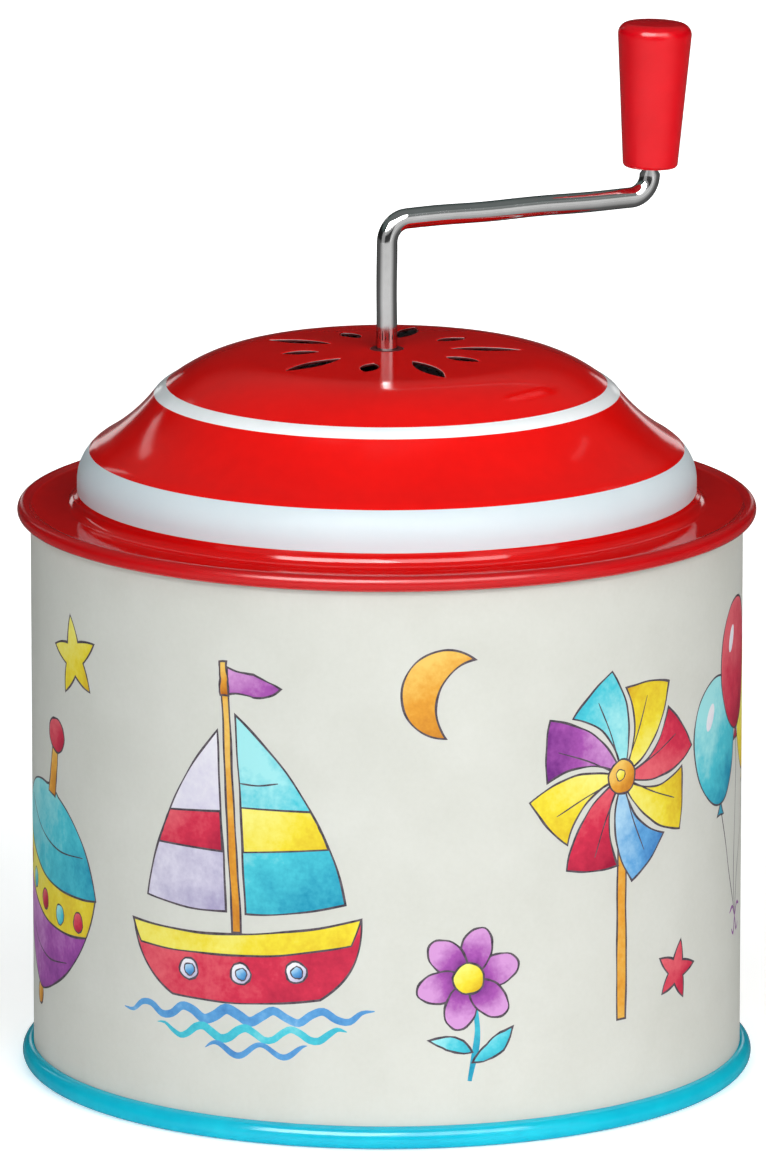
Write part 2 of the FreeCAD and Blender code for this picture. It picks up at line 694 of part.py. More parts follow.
b.Placement = FreeCAD.Placement(V(0, D.axis_offset.v, zc.v), FreeCAD.Rotation())
b.setExpression("Placement.Base.y", D.axis_offset.t)
b.setExpression("Placement.Base.z", zc.t)
done(b)


def on_cylinder_axis(body):
    body.Placement = FreeCAD.Placement(V(0, D.axis_offset.v, zc.v), FreeCAD.Rotation())
    body.setExpression("Placement.Base.y", D.axis_offset.t)
    body.setExpression("Placement.Base.z", zc.t)


def turned_on_x(label, pts):
    """A piece turned about the cylinder axis; pts are (x, radius)."""
    body = new_body(label)
    s = new_sketch(body, label + "_profile", "XY_Plane")
    outline(s, pts)
    rev = body.newObject("PartDesign::Revolution", label + "_turning")
    rev.Profile = s
    rev.ReferenceAxis = (s, ["H_Axis"])
    rev.Angle = 360.0
    doc.recompute()
    on_cylinder_axis(body)
    return done(body)


ra = D.arbor_radius
turned_on_x("cylinder_arbor", [
    (-6.1, 0.0), (21.7, 0.0), (21.7, ra - 0.25), (21.45, ra), (-5.85, ra), (-6.1, ra - 0.25)])
turned_on_x("cylinder_drum", [
    (D.drum_start, D.drum_radius - D.drum_wall), (D.drum_end, D.drum_radius - D.drum_wall),
    (D.drum_end, D.drum_radius), (D.drum_start, D.drum_radius)])
cap = D.drum_radius - D.drum_wall - 0.01
turned_on_x("end_cap_left", [
    (D.drum_start + 0.05, ra + 0.01), (D.drum_start + 2.4, ra + 0.01), (D.drum_start + 2.4, 2.2),
    (D.drum_start + 1.25, 2.2), (D.drum_start + 1.25, cap), (D.drum_start + 0.05, cap)])
turned_on_x("end_cap_right", [
    (D.drum_end - 2.4, ra + 0.01), (D.drum_end - 0.05, ra + 0.01), (D.drum_end - 0.05, cap),
    (D.drum_end - 1.25, cap), (D.drum_end - 1.25, 2.2), (D.drum_end - 2.4, 2.2)])

# drum pins: one short pin per note, set in rows under the comb teeth
melody = [7, 9, 11, 9, 7, 4, 5, 7, 9, 7, 5, 4, 2, 4, 5, 7, 11, 12, 14, 12, 11, 9, 7, 9, 5, 7, 4, 5, 2, 4, 0, 7]
chords = [0, 2, 3, 1, 0, 3, 2, 0]
pins = []
for i, note in enumerate(melody):
    pins.append((note, i * 10.6))
for i, note in enumerate(chords):
    if melody[i * 4] != note:
        pins.append((note, i * 4 * 10.6))
solids = []
for note, ang in pins:
    x = D.comb_start.v + D.comb_pitch.v * (note + 0.5)
    a = math.radians(ang + 40.0)
    d = V(0, math.cos(a), math.sin(a))
    foot_r = D.drum_radius.v - 0.45
    solids.append(Part.makeCylinder(0.21, D.pin_tip.v - foot_r - 0.08, V(x, 0, 0) + d * foot_r, d).fuse(
        Part.makeCone(0.21, 0.13, 0.08, V(x, 0, 0) + d * (D.pin_tip.v - 0.08), d)).removeSplitter())
f = doc.addObject("Part::Feature", "F_drum_pins")
f.Label = "drum_pins"
f.Shape = Part.makeCompound(solids)
f.Placement = FreeCAD.Placement(V(0, D.axis_offset.v, zc.v), FreeCAD.Rotation())
done(f)

# ------------------------------------------------------------ movement plate
frame_screw_at = [(-7.5, -11.5), (8.0, -11.5), (23.4, 15.4), (-5.2, 18.0)]
b = new_body("movement_plate")
sk = new_sketch(b, "plate_outline", "XY_Plane")
lift(sk, D.plate_low)
circle(sk, 0.0, 0.0, D.plate_radius)
circle(sk, 0.0, 0.0, 4.6)
for x, y in frame_screw_at:
    circle(sk, x, y, 1.30)
pad(b, "plate_sheet", sk, D.plate_gauge)
sk = new_sketch(b, "plate_window", "XY_Plane")
wx, wy = spin(27.0, 0.0, 150.0)
circle(sk, wx, wy, 4.2)
cut = pocket(b, "plate_window_cut", sk, None, reverse=True)
polar(b, "plate_windows", cut, (sk, ["N_Axis"]), 7, 150.0)
done(b)

# ------------------------------------------------------------ movement frame
b = new_body("movement_frame")
sk = new_sketch(b, "frame_outline", "XY_Plane")
lift(sk, D.frame_low)
outline(sk, [(-10.6, -14.6), (10.0, -14.6), (26.8, 2.0), (26.8, 18.0), (18.9, 29.2), (0.5, 29.2), (-10.6, 16.0)])
pad(b, "frame_plate", sk, D.frame_gauge)
sk = new_sketch(b, "comb_seat", "XY_Plane")
seat_low = zc + 0.52
lift(sk, seat_low)
cx1 = D.comb_start + D.comb_pitch * D.comb_count
box(sk, D.comb_start - 0.3, 22.4, cx1 + 0.3, D.comb_back + 0.2)
pad(b, "comb_seat_block", sk, D.frame_low - seat_low + 0.5)
sk = new_sketch(b, "frame_bush_hole", "XY_Plane")
circle(sk, 0.0, 0.0, 3.02)
pocket(b, "frame_bush_hole_cut", sk, None, reverse=True)
sk = new_sketch(b, "frame_screw_holes", "XY_Plane")
for x, y in frame_screw_at:
    circle(sk, x, y, 1.02)
pocket(b, "frame_screw_holes_cut", sk, None, reverse=True)
comb_screw_x = [4.8, 10.6, 16.4]
comb_screw_y = 25.4
sk = new_sketch(b, "comb_screw_pilots", "XY_Plane")
lift(sk, seat_low - 1.0)
for x in comb_screw_x:
    circle(sk, x, comb_screw_y, 1.02)
pocket(b, "comb_screw_pilots_cut", sk, 7.2, reverse=True)
worm_screw_at = [(-2.4, -10.4), (2.4, -10.4)]
bear_screw_at = [(-8.0, 7.0), (-8.0, 10.5), (23.9, 7.0), (23.9, 10.5)]
sk = new_sketch(b, "bracket_pilots", "XY_Plane")
lift(sk, D.frame_low - 1.0)
for x, y in worm_screw_at + bear_screw_at:
    circle(sk, x, y, 0.82)
pocket(b, "bracket_pilots_cut", sk, 2.9, reverse=True)
done(b)


# ------------------------------------------------------------------- screws
def screws(label, places, seat, head_r, head_h, shank_r, shank_l, up):
    """Slotted pan-head screws; the heads sit on the level seat and point up
    (up) or down."""
    body = new_body(label)
    body.AllowCompound = True
    s = new_sketch(body, label + "_heads", "XY_Plane")
    lift(s, seat)
    for x, y in places:
        circle(s, x, y, head_r)
    pad(body, label + "_head", s, head_h, reverse=not up)
    s = new_sketch(body, label + "_shanks", "XY_Plane")
    lift(s, seat)
    for x, y in places:
        circle(s, x, y, shank_r)
    pad(body, label + "_shank", s, shank_l, reverse=up)
    s = new_sketch(body, label + "_slots", "XY_Plane")
    top = Q.of(seat) + (head_h if up else -head_h)
    lift(s, top)
    for x, y in places:
        outline(s, [(x - head_r - 0.2, y - 0.25), (x + head_r + 0.2, y - 0.25),
                    (x + head_r + 0.2, y + 0.25), (x - head_r - 0.2, y + 0.25)])
    pocket(body, label + "_slot", s, head_h * 0.45, reverse=not up)
    return done(body)


screws("frame_screws", frame_screw_at, D.plate_low + D.plate_gauge + 0.01, 2.2, 1.3, 1.0, 2.55, True)
screws("worm_bracket_screws", worm_screw_at, D.frame_low - D.bracket_gauge - 0.02, 1.5, 1.0, 0.8, 2.7, False)
screws("bearing_bracket_screws", bear_screw_at, D.frame_low - D.bracket_gauge - 0.02, 1.5, 1.0, 0.8, 2.7, False)
screws("comb_screws", [(x, comb_screw_y) for x in comb_screw_x], zc - 0.51, 1.9, 1.2, 1.0, 6.8, False)

# ---------------------------------------------------------------- worm bush
b = new_body("worm_bush")
sk = new_sketch(b, "worm_bush_profile", "XZ_Plane")
fl0 = D.frame_low
wj = D.worm_journal_top + 0.05
outline(sk, [
    (wj, fl0 - 0.95), (4.2, fl0 - 0.95), (4.2, fl0 - 0.01), (3.0, fl0 - 0.01), (3.0, fl0 + 2.2), (wj, fl0 + 2.2)])
revolve(b, "worm_bush_turning", sk)
done(b)

# ------------------------------------------------------------- worm bracket
b = new_body("worm_bracket")
sk = new_sketch(b, "worm_bracket_profile", "YZ_Plane")
bg = D.bracket_gauge
top = D.frame_low - 0.01
low = zc - 8.2
outline(sk, [
    (-13.6, top - bg), (-6.0, top - bg), (-6.0, low), (3.0, low), (3.0, low + bg + 0.1),
    (-6.0 + bg, low + bg + 0.1), (-6.0 + bg, top), (-13.6, top)])
pad(b, "worm_bracket_strip", sk, 8.4, both=True)
sk = new_sketch(b, "worm_bracket_holes", "XY_Plane")
circle(sk, 0.0, 0.0, D.worm_journal_low + 0.05)
for x, y in worm_screw_at:
    circle(sk, x, y, 0.9)
pocket(b, "worm_bracket_holes_cut", sk, None, reverse=True)
done(b)


# --------------------------------------------------------- bearing brackets
def bearing(label, face, side, screw_at):
    """Angle bracket; face is the inner face, side the way its foot points."""
    body = new_body(label)
    s = new_sketch(body, label + "_profile", "XZ_Plane")
    f0, f1 = Q.of(face), Q.of(face) + D.bracket_gauge * side
    f2 = Q.of(face) + 6.2 * side
    outline(s, [
        (f0, zc - 3.2), (f1, zc - 3.2), (f1, top - bg), (f2, top - bg), (f2, top), (f0, top)])
    sk_off = FreeCAD.Placement(V(0, 0, -D.axis_offset.v), FreeCAD.Rotation())
    s.AttachmentOffset = sk_off
    s.setExpression("AttachmentOffset.Base.z", "0 - Dims.axis_offset")
    pad(body, label + "_strip", s, 7.0, both=True)
    s = new_sketch(body, label + "_journal", "YZ_Plane")
    circle(s, D.axis_offset, zc, D.arbor_radius + 0.05)
    pocket(body, label + "_journal_cut", s, None, both=True)
    s = new_sketch(body, label + "_foot_holes", "XY_Plane")
    for x, y in screw_at:
        circle(s, x, y, 0.9)
    pocket(body, label + "_foot_holes_cut", s, None, reverse=True)
    return done(body)


bearing("left_bearing_bracket", -4.6, -1, bear_screw_at[:2])
bearing("right_bearing_bracket", 20.2, 1, bear_screw_at[2:])

# --------------------------------------------------------------------- comb
b = new_body("comb")
sk = new_sketch(b, "comb_heel_plan", "XY_Plane")
lift(sk, zc - 0.5)
outline(sk, [(D.comb_start, D.comb_heel), (cx1, D.comb_heel), (cx1, D.comb_back), (D.comb_start, D.comb_back)])
pad(b, "comb_heel_block", sk, 1.0)
sk = new_sketch(b, "comb_reed_plan", "XY_Plane")
lift(sk, zc - 0.25)
outline(sk, [(D.comb_start, D.comb_tip), (cx1, D.comb_tip), (cx1, D.comb_heel + 0.2), (D.comb_start, D.comb_heel + 0.2)])
pad(b, "comb_reeds", sk, 0.5)
sk = new_sketch(b, "comb_slit_plan", "XY_Plane")
sx = D.comb_start + D.comb_pitch
hs = D.comb_slit / 2.0
outline(sk, [(sx - hs, D.comb_tip - 0.5), (sx + hs, D.comb_tip - 0.5), (sx + hs, D.comb_heel - 0.3), (sx - hs, D.comb_heel - 0.3)])
cut = pocket(b, "comb_slit_cut", sk, None, reverse=True)
lin = b.newObject("PartDesign::LinearPattern", "comb_slits")
lin.Originals = [cut]
lin.Direction = (sk, ["H_Axis"])
lin.Length = D.comb_pitch.v * 13
lin.setExpression("Length", "Dims.comb_pitch * (Dims.comb_count - 2)")
lin.Occurrences = int(D.comb_count.v) - 1
b.Tip = lin
doc.recompute()
sk = new_sketch(b, "comb_holes", "XY_Plane")
for x in comb_screw_x:
    circle(sk, x, comb_screw_y, 1.15)
pocket(b, "comb_holes_cut", sk, None, reverse=True)
done(b)

# ----------------------------------------------------------- tuning weights
b = new_body("tuning_weights")
b.AllowCompound = True
sk = new_sketch(b, "weight_plan", "XY_Plane")
lift(sk, zc - 0.26)
for i in range(5):
    x0 = D.comb_start + D.comb_pitch * i + hs + 0.04
    x1 = D.comb_start + D.comb_pitch * (i + 1) - hs - 0.04
    box(sk, x0, D.comb_tip + 1.3, x1, D.comb_tip + 3.6 - 0.25 * i)
pad(b, "weight_blocks", sk, 0.9, reverse=True)
done(b)

# -------------------------------------------------------------------- output
doc.recompute()
bad = []
for obj in doc.Objects:
    st = list(getattr(obj, "State", []))
    if "Invalid" in st or "Error" in st:
        bad.append("%s %s" % (obj.Label, st))
for obj in nodes:
    s = obj.Shape
    if s.isNull() or not s.isValid():
        bad.append("%s shape not valid" % obj.Label)
if bad:
    raise RuntimeError("; ".join(bad))
os.makedirs("parts", exist_ok=True)
for obj in nodes:
    obj.Shape.exportStep("parts/%s.step" % obj.Label)
    bb = obj.Shape.BoundBox
    print("%-24s solids %2d  volume %10.3f  x %.2f..%.2f y %.2f..%.2f z %.2f..%.2f" % (
        obj.Label, len(obj.Shape.Solids), obj.Shape.Volume,
        bb.XMin, bb.XMax, bb.YMin, bb.YMax, bb.ZMin, bb.ZMax))
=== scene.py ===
import math

import bpy
import numpy as np
from mathutils import Matrix, Vector
from mathutils.geometry import delaunay_2d_cdt


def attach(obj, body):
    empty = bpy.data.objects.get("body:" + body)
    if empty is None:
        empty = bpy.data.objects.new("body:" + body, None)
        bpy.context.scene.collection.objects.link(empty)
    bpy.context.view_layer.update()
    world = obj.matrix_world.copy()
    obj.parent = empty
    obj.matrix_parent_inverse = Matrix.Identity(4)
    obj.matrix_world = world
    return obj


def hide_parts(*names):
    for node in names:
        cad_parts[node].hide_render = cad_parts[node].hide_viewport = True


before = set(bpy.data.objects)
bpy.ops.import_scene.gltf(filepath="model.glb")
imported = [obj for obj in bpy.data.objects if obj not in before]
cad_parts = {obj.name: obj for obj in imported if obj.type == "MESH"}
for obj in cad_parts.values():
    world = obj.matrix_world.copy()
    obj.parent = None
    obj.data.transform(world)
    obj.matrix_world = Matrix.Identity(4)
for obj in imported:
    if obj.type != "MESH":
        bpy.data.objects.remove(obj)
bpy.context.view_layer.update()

MM = 0.001
SEG = 288                      # segments of the round tin pieces


# =============================================================== materials
def lin(r, g, b):
    """8-bit display colour to linear RGBA."""
    out = []
    for c in (r, g, b):
        c = c / 255.0
        out.append(c / 12.92 if c <= 0.04045 else ((c + 0.055) / 1.055) ** 2.4)
    return (*out, 1.0)


class Mat:
    """A node material round one Principled shader."""

    def __init__(self, name):
        self.m = bpy.data.materials.new(name)
        self.m.use_nodes = True
        self.t = self.m.node_tree
        self.t.nodes.clear()
        self.out = self.t.nodes.new("ShaderNodeOutputMaterial")
        self.p = self.t.nodes.new("ShaderNodeBsdfPrincipled")
        self.t.links.new(self.p.outputs[0], self.out.inputs[0])
        self.co = self.t.nodes.new("ShaderNodeTexCoord")

    def set(self, **kw):
        for k, v in kw.items():
            self.p.inputs[k.replace("_", " ")].default_value = v
        return self

    def noise(self, size_mm, detail=3.0, rough=0.55, distort=0.0, stretch=None):
        n = self.t.nodes.new("ShaderNodeTexNoise")
        n.inputs["Scale"].default_value = 1000.0 / size_mm
        n.inputs["Detail"].default_value = detail
        n.inputs["Roughness"].default_value = rough
        n.inputs["Distortion"].default_value = distort
        src = self.co.outputs["Object"]
        if stretch is not None:
            mp = self.t.nodes.new("ShaderNodeMapping")
            mp.inputs["Scale"].default_value = stretch
            self.t.links.new(src, mp.inputs["Vector"])
            src = mp.outputs[0]
        self.t.links.new(src, n.inputs["Vector"])
        return n.outputs["Fac"]

    def voronoi(self, size_mm):
        n = self.t.nodes.new("ShaderNodeTexVoronoi")
        n.inputs["Scale"].default_value = 1000.0 / size_mm
        self.t.links.new(self.co.outputs["Object"], n.inputs["Vector"])
        return n.outputs["Distance"]

    def wave(self, axis, size_mm, distort=1.0):
        n = self.t.nodes.new("ShaderNodeTexWave")
        n.bands_direction = axis
        n.inputs["Scale"].default_value = 1000.0 / size_mm / 20.0
        n.inputs["Distortion"].default_value = distort
        n.inputs["Detail"].default_value = 2.0
        self.t.links.new(self.co.outputs["Object"], n.inputs["Vector"])
        return n.outputs["Fac"]

    def attribute(self, name):
        n = self.t.nodes.new("ShaderNodeAttribute")
        n.attribute_name = name
        return n.outputs["Fac"]

    def math(self, op, a, b, clamp=False):
        n = self.t.nodes.new("ShaderNodeMath")
        n.operation = op
        n.use_clamp = clamp
        for i, v in enumerate((a, b)):
            if isinstance(v, (int, float)):
                n.inputs[i].default_value = v
            else:
                self.t.links.new(v, n.inputs[i])
        return n.outputs[0]

    def ramp(self, fac, stops):
        n = self.t.nodes.new("ShaderNodeValToRGB")
        el = n.color_ramp.elements
        while len(el) < len(stops):
            el.new(0.5)
        for e, (pos, col) in zip(el, stops):
            e.position = pos
            e.color = col
        self.t.links.new(fac, n.inputs["Fac"])
        return n.outputs["Color"]

    def span(self, fac, lo, hi, a=0.0, b=1.0):
        n = self.t.nodes.new("ShaderNodeMapRange")
        n.inputs["From Min"].default_value = a
        n.inputs["From Max"].default_value = b
        n.inputs["To Min"].default_value = lo
        n.inputs["To Max"].default_value = hi
        self.t.links.new(fac, n.inputs["Value"])
        return n.outputs["Result"]

    def to(self, socket, src):
        self.t.links.new(src, self.p.inputs[socket])
        return self

    def bump(self, src, strength, depth_mm):
        n = self.t.nodes.new("ShaderNodeBump")
        n.inputs["Strength"].default_value = strength
        n.inputs["Distance"].default_value = depth_mm * MM
        self.t.links.new(src, n.inputs["Height"])
        self.t.links.new(n.outputs["Normal"], self.p.inputs["Normal"])
        return self


def enamel(name, deep, light, rough=(0.12, 0.20), shine=0.32, peel=0.05):
    """Stove enamel on tinplate: even colour with faint depth and orange peel."""
    m = Mat(name)
    blot = m.math("ADD", m.math("MULTIPLY", m.noise(14.0, 3.0), 0.7), m.math("MULTIPLY", m.noise(1.6, 2.0), 0.3))
    m.to("Base Color", m.ramp(blot, [(0.30, deep), (0.70, light)]))
    m.to("Roughness", m.span(m.noise(2.2, 4.0), rough[0], rough[1], 0.3, 0.7))
    m.bump(m.noise(1.4, 2.0, 0.5), peel, 0.02)
    return m.set(Specular_IOR_Level=shine, IOR=1.5).m


def metal(name, deep, light, rough, size=3.0, wave=None, bump=0.08, stretch=None):
    m = Mat(name)
    f = m.noise(size, 5.0, 0.6, 0.0, stretch)
    m.to("Base Color", m.ramp(f, [(0.30, deep), (0.72, light)]))
    fine = m.noise(size * 0.22, 3.0, 0.6, 0.0, stretch)
    m.to("Roughness", m.span(fine, rough[0], rough[1], 0.3, 0.7))
    if wave is not None:
        m.bump(m.wave(wave[0], wave[1], 0.6), bump, 0.01)
    else:
        m.bump(fine, bump, 0.01)
    return m.set(Metallic=1.0).m


def wash(name, light, mid, dark):
    """Printed watercolour: tone from the drawing, mottled by the paper."""
    m = Mat(name)
    tone = m.attribute("tone")
    cloud = m.math("MULTIPLY", m.math("SUBTRACT", m.noise(3.4, 4.0, 0.62), 0.5), 0.85)
    grain = m.math("MULTIPLY", m.math("SUBTRACT", m.noise(0.55, 2.0, 0.6), 0.5), 0.30)
    f = m.math("ADD", m.math("ADD", tone, cloud), grain, True)
    light, mid, dark = [tuple(c * 0.74 for c in q[:3]) + (1.0,) for q in (light, mid, dark)]
    m.to("Base Color", m.ramp(f, [(0.12, light), (0.50, mid), (0.92, dark)]))
    m.to("Roughness", m.span(m.noise(4.0, 2.0), 0.46, 0.54, 0.3, 0.7))
    m.bump(m.noise(5.0, 1.0), 0.02, 0.004)
    return m.set(Specular_IOR_Level=0.20, IOR=1.48).m


RED = enamel("red_enamel", lin(218, 8, 5), lin(231, 12, 7), (0.09, 0.14), 0.45, 0.02)
# Darker copy of the red enamel on the rolled rim: painted shade.
ROLL_PAINTED_SHADE = enamel("red_enamel_roll_painted_shade", lin(176, 7, 12), lin(190, 10, 16), (0.20, 0.26), 0.50, 0.008)
# Darker copy of the red enamel in the gutter and the fillet under the band: painted shade in the recess.
GUTTER_PAINTED_SHADE = enamel("red_enamel_gutter_painted_shade", lin(194, 7, 8), lin(208, 11, 10), (0.07, 0.12), 0.50, 0.015)
# One white enamel in two copies: the band's copy is darker as painted shade, the ring's copy lighter as painted light.
WHITE_PAINTED_SHADE = enamel("white_enamel", lin(203, 213, 219), lin(207, 216, 221), (0.28, 0.33), 0.07, 0.015)
RING_PAINTED_LIGHT = enamel("white_enamel_ring_painted_light", lin(236, 239, 242), lin(246, 248, 250), (0.12, 0.18), 0.40, 0.015)
BLUE = enamel("blue_enamel", lin(7, 163, 193), lin(16, 186, 207), (0.12, 0.18), 0.45, 0.012)
SEAM = enamel("lacquered_seam", lin(146, 147, 145), lin(168, 169, 166), (0.36, 0.48), 0.30, 0.02)
TIN = metal("bare_tinplate", lin(150, 152, 156), lin(196, 198, 202), (0.22, 0.36), 4.0)
# Dark red for the lower part of the slot walls: painted shade inside the slots.
SLOT_WALL_SHADE = enamel("slot_wall_painted_shade", lin(66, 6, 9), lin(92, 12, 15), (0.42, 0.56), 0.20, 0.03)
# Bare cut tin, made lighter and pink-tinted as a painted glint of the red lips around it.
CUT_TIN_AND_GLINT = metal("cut_tin_edge_and_painted_glint", lin(214, 208, 208), lin(244, 238, 238), (0.40, 0.52), 0.8)

m = Mat("chrome_plate")
m.to("Base Color", m.ramp(m.noise(5.0, 4.0), [(0.3, lin(222, 222, 221)), (0.7, lin(238, 238, 238))]))
m.to("Roughness", m.span(m.noise(0.8, 4.0), 0.05, 0.13, 0.3, 0.75))
m.bump(m.noise(1.6, 3.0, 0.6), 0.10, 0.012)
# The dark specular tint is painted shade: it darkens the wire's reflections at its grazing edges.
CHROME = m.set(Metallic=1.0, Specular_Tint=(0.12, 0.12, 0.12, 1.0)).m

m = Mat("red_plastic")
m.to("Base Color", m.ramp(m.noise(5.0, 3.0), [(0.3, lin(200, 4, 18)), (0.7, lin(212, 7, 24))]))
m.to("Roughness", m.span(m.noise(1.4, 3.0), 0.16, 0.21, 0.3, 0.7))
m.bump(m.noise(2.4, 2.0, 0.5), 0.03, 0.02)
PLASTIC = m.set(Specular_IOR_Level=0.42, IOR=1.5).m

m = Mat("cream_print_ground")
speck = m.math("ADD", m.math("MULTIPLY", m.noise(9.0, 4.0), 0.75), m.math("MULTIPLY", m.noise(0.5, 2.0), 0.25))
m.to("Base Color", m.ramp(speck, [(0.30, lin(189, 189, 182)), (0.70, lin(197, 197, 191))]))
m.to("Roughness", m.span(m.noise(4.0, 2.0), 0.46, 0.54, 0.3, 0.7))
m.bump(m.noise(5.0, 1.0), 0.02, 0.004)
CREAM = m.set(Specular_IOR_Level=0.20, IOR=1.48).m

m = Mat("print_line")
m.to("Base Color", m.ramp(m.noise(0.7, 3.0), [(0.3, lin(52, 44, 56)), (0.7, lin(92, 82, 90))]))
m.to("Roughness", m.span(m.noise(1.2, 2.0), 0.44, 0.56, 0.3, 0.7))
m.bump(m.noise(5.0, 1.0), 0.02, 0.004)
INK = m.set(Specular_IOR_Level=0.20).m

WASH = {
    "yellow": wash("wash_yellow", lin(255, 246, 128), lin(248, 226, 52), lin(222, 172, 24)),
    "ochre": wash("wash_ochre", lin(250, 206, 104), lin(234, 162, 50), lin(190, 108, 30)),
    "red": wash("wash_red", lin(240, 104, 116), lin(218, 46, 78), lin(164, 18, 58)),
    "turq": wash("wash_turquoise", lin(168, 238, 242), lin(76, 206, 224), lin(22, 150, 186)),
    "sky": wash("wash_sky", lin(176, 218, 246), lin(96, 168, 226), lin(42, 106, 182)),
    "purple": wash("wash_purple", lin(220, 158, 220), lin(172, 84, 178), lin(112, 38, 130)),
    "lav": wash("wash_lavender", lin(246, 244, 250), lin(226, 221, 240), lin(178, 170, 206)),
}


# ============================================================ mesh building
class Build:
    """Collects faces with their own normals, welds them and makes a mesh."""

    def __init__(self):
        self.v, self.f, self.n, self.mat, self.tone, self.uv = [], [], [], [], [], []

    def face(self, pts, normals, mat, tone=None, uv=None):
        base = len(self.v)
        self.v.extend(pts)
        self.f.append(list(range(base, base + len(pts))))
        self.n.append(normals)
        self.mat.append(mat)
        self.tone.append(tone)
        self.uv.append(uv)

    def make(self, name, mats, tones=False, uvs=False):
        co = np.array(self.v, dtype=np.float64)
        key = np.round(co * 1e7).astype(np.int64)
        _, first, inv = np.unique(key, axis=0, return_index=True, return_inverse=True)
        inv = inv.reshape(-1)
        verts = co[first]
        faces, norms, idx, tone, uv = [], [], [], [], []
        for f, n, mi, t, w in zip(self.f, self.n, self.mat, self.tone, self.uv):
            g, keep = [], []
            for k, i in enumerate(f):
                j = int(inv[i])
                if j not in g:
                    g.append(j)
                    keep.append(k)
            if len(g) < 3:
                continue
            faces.append(g)
            norms.extend(n[k] for k in keep)
            idx.append(mi)
            if tones:
                tone.extend((0.4 if t is None else t[k]) for k in keep)
            if uvs:
                uv.extend(w[k] for k in keep)
        me = bpy.data.meshes.new(name)
        me.from_pydata(verts.tolist(), [], faces)
        for mt in mats:
            me.materials.append(mt)
        me.polygons.foreach_set("material_index", idx)
        me.polygons.foreach_set("use_smooth", [True] * len(faces))
        if tones:
            at = me.attributes.new("tone", "FLOAT", "CORNER")
            at.data.foreach_set("value", tone)
        if uvs:
            lay = me.uv_layers.new(name="OFBake")
            lay.data.foreach_set("uv", np.array(uv, dtype=np.float32).reshape(-1))
        me.update()
        me.normals_split_custom_set([tuple(v) for v in norms])
        ob = bpy.data.objects.new(name, me)
        bpy.context.scene.collection.objects.link(ob)
        return ob


def arc(a, b, rad, side, n, wide=False):
    """Points from a to b on an arc that bulges left (+1) or right (-1)."""
    a, b = np.array(a, float), np.array(b, float)
    ch = b - a
    ln = np.hypot(*ch)
    left = np.array([-ch[1], ch[0]]) / ln
    depth = math.sqrt(max(rad * rad - ln * ln / 4, 0.0)) * (-1 if wide else 1)
    o = (a + b) / 2 - left * depth * side
    t0, t1 = math.atan2(*(a - o)[::-1]), math.atan2(*(b - o)[::-1])
    if side > 0:
        while t1 > t0:
            t1 -= 2 * math.pi
    else:
        while t1 < t0:
            t1 += 2 * math.pi
    return [tuple(o + rad * np.array([math.cos(t), math.sin(t)])) for t in np.linspace(t0, t1, n + 1)]


class Path:
    """Profile of a turned or pressed piece: points with a material per edge."""

    def __init__(self, start):
        self.p = [tuple(map(float, start))]
        self.m = []

    def line(self, to, mat, n=1):
        a = self.p[-1]
        for k in range(1, n + 1):
            self.p.append((a[0] + (to[0] - a[0]) * k / n, a[1] + (to[1] - a[1]) * k / n))
            self.m.append(mat)
        return self

    def arc(self, to, rad, side, mat, n=12, wide=False):
        for q in arc(self.p[-1], to, rad, side, n, wide)[1:]:
            self.p.append(q)
            self.m.append(mat)
        return self

    def points(self, pts, mat):
        for q in pts:
            self.p.append(tuple(map(float, q)))
            self.m.append(mat)
        return self


def profile_normals(p, closed, crease=32.0):
    """Left-hand normals at both ends of every edge, smoothed below a crease."""
    p = np.array(p)
    n = len(p)
    cnt = n if closed else n - 1
    d = np.array([p[(i + 1) % n] - p[i] for i in range(cnt)])
    ln = np.maximum(np.hypot(d[:, 0], d[:, 1]), 1e-12)
    nn = np.stack([-d[:, 1], d[:, 0]], 1) / ln[:, None]
    out = []
    lim = math.cos(math.radians(crease))
    for i in range(cnt):
        ends = []
        for j, other in ((0, i - 1), (1, i + 1)):
            if not closed and (other < 0 or other >= cnt):
                ends.append(nn[i])
                continue
            o = nn[other % cnt]
            if o @ nn[i] < lim:
                ends.append(nn[i])
            else:
                s = o * ln[i] + nn[i] * ln[other % cnt]
                ends.append(s / np.hypot(*s))
        out.append(ends)
    return out


def revolve(b, path, closed, seg=SEG, place=None, uvs=None):
    """Turn a profile (radius, height) in mm about Z. The left of the profile's
    direction of travel is the outside."""
    nr = profile_normals(path.p, closed)
    p = path.p
    n = len(p)
    ang = [2 * math.pi * k / seg for k in range(seg)] + [0.0]
    cs = [(math.cos(a), math.sin(a)) for a in ang]
    rot = place.to_3x3() if place is not None else None

    def at(q, c):
        v = (q[0] * c[0] * MM, q[0] * c[1] * MM, q[1] * MM)
        return tuple(place @ Vector(v)) if place is not None else v

    def no(q, c):
        v = (q[0] * c[0], q[0] * c[1], q[1])
        return tuple(rot @ Vector(v)) if rot is not None else v

    for i, mat in enumerate(path.m):
        q0, q1 = p[i], p[(i + 1) % n]
        n0, n1 = nr[i]
        for k in range(seg):
            c0, c1 = cs[k], cs[k + 1]
            b.face([at(q0, c0), at(q1, c0), at(q1, c1), at(q0, c1)],
                   [no(n0, c0), no(n1, c0), no(n1, c1), no(n0, c1)], mat,
                   None, None if uvs is None else uvs(i, k))


# ====================================================================== lid
CROWN_TOP, CROWN_R = 74.00, 240.0
SH_R, SH_END, SH_RAD = 14.0, (22.35, 70.44), 14.98
TG = 0.28


def crown(r, rad=CROWN_R):
    return CROWN_TOP - CROWN_R + math.sqrt(rad * rad - r * r)


SH_START = (SH_R, crown(SH_R))
_shoulder = arc(SH_START, SH_END, SH_RAD, 1, 64)


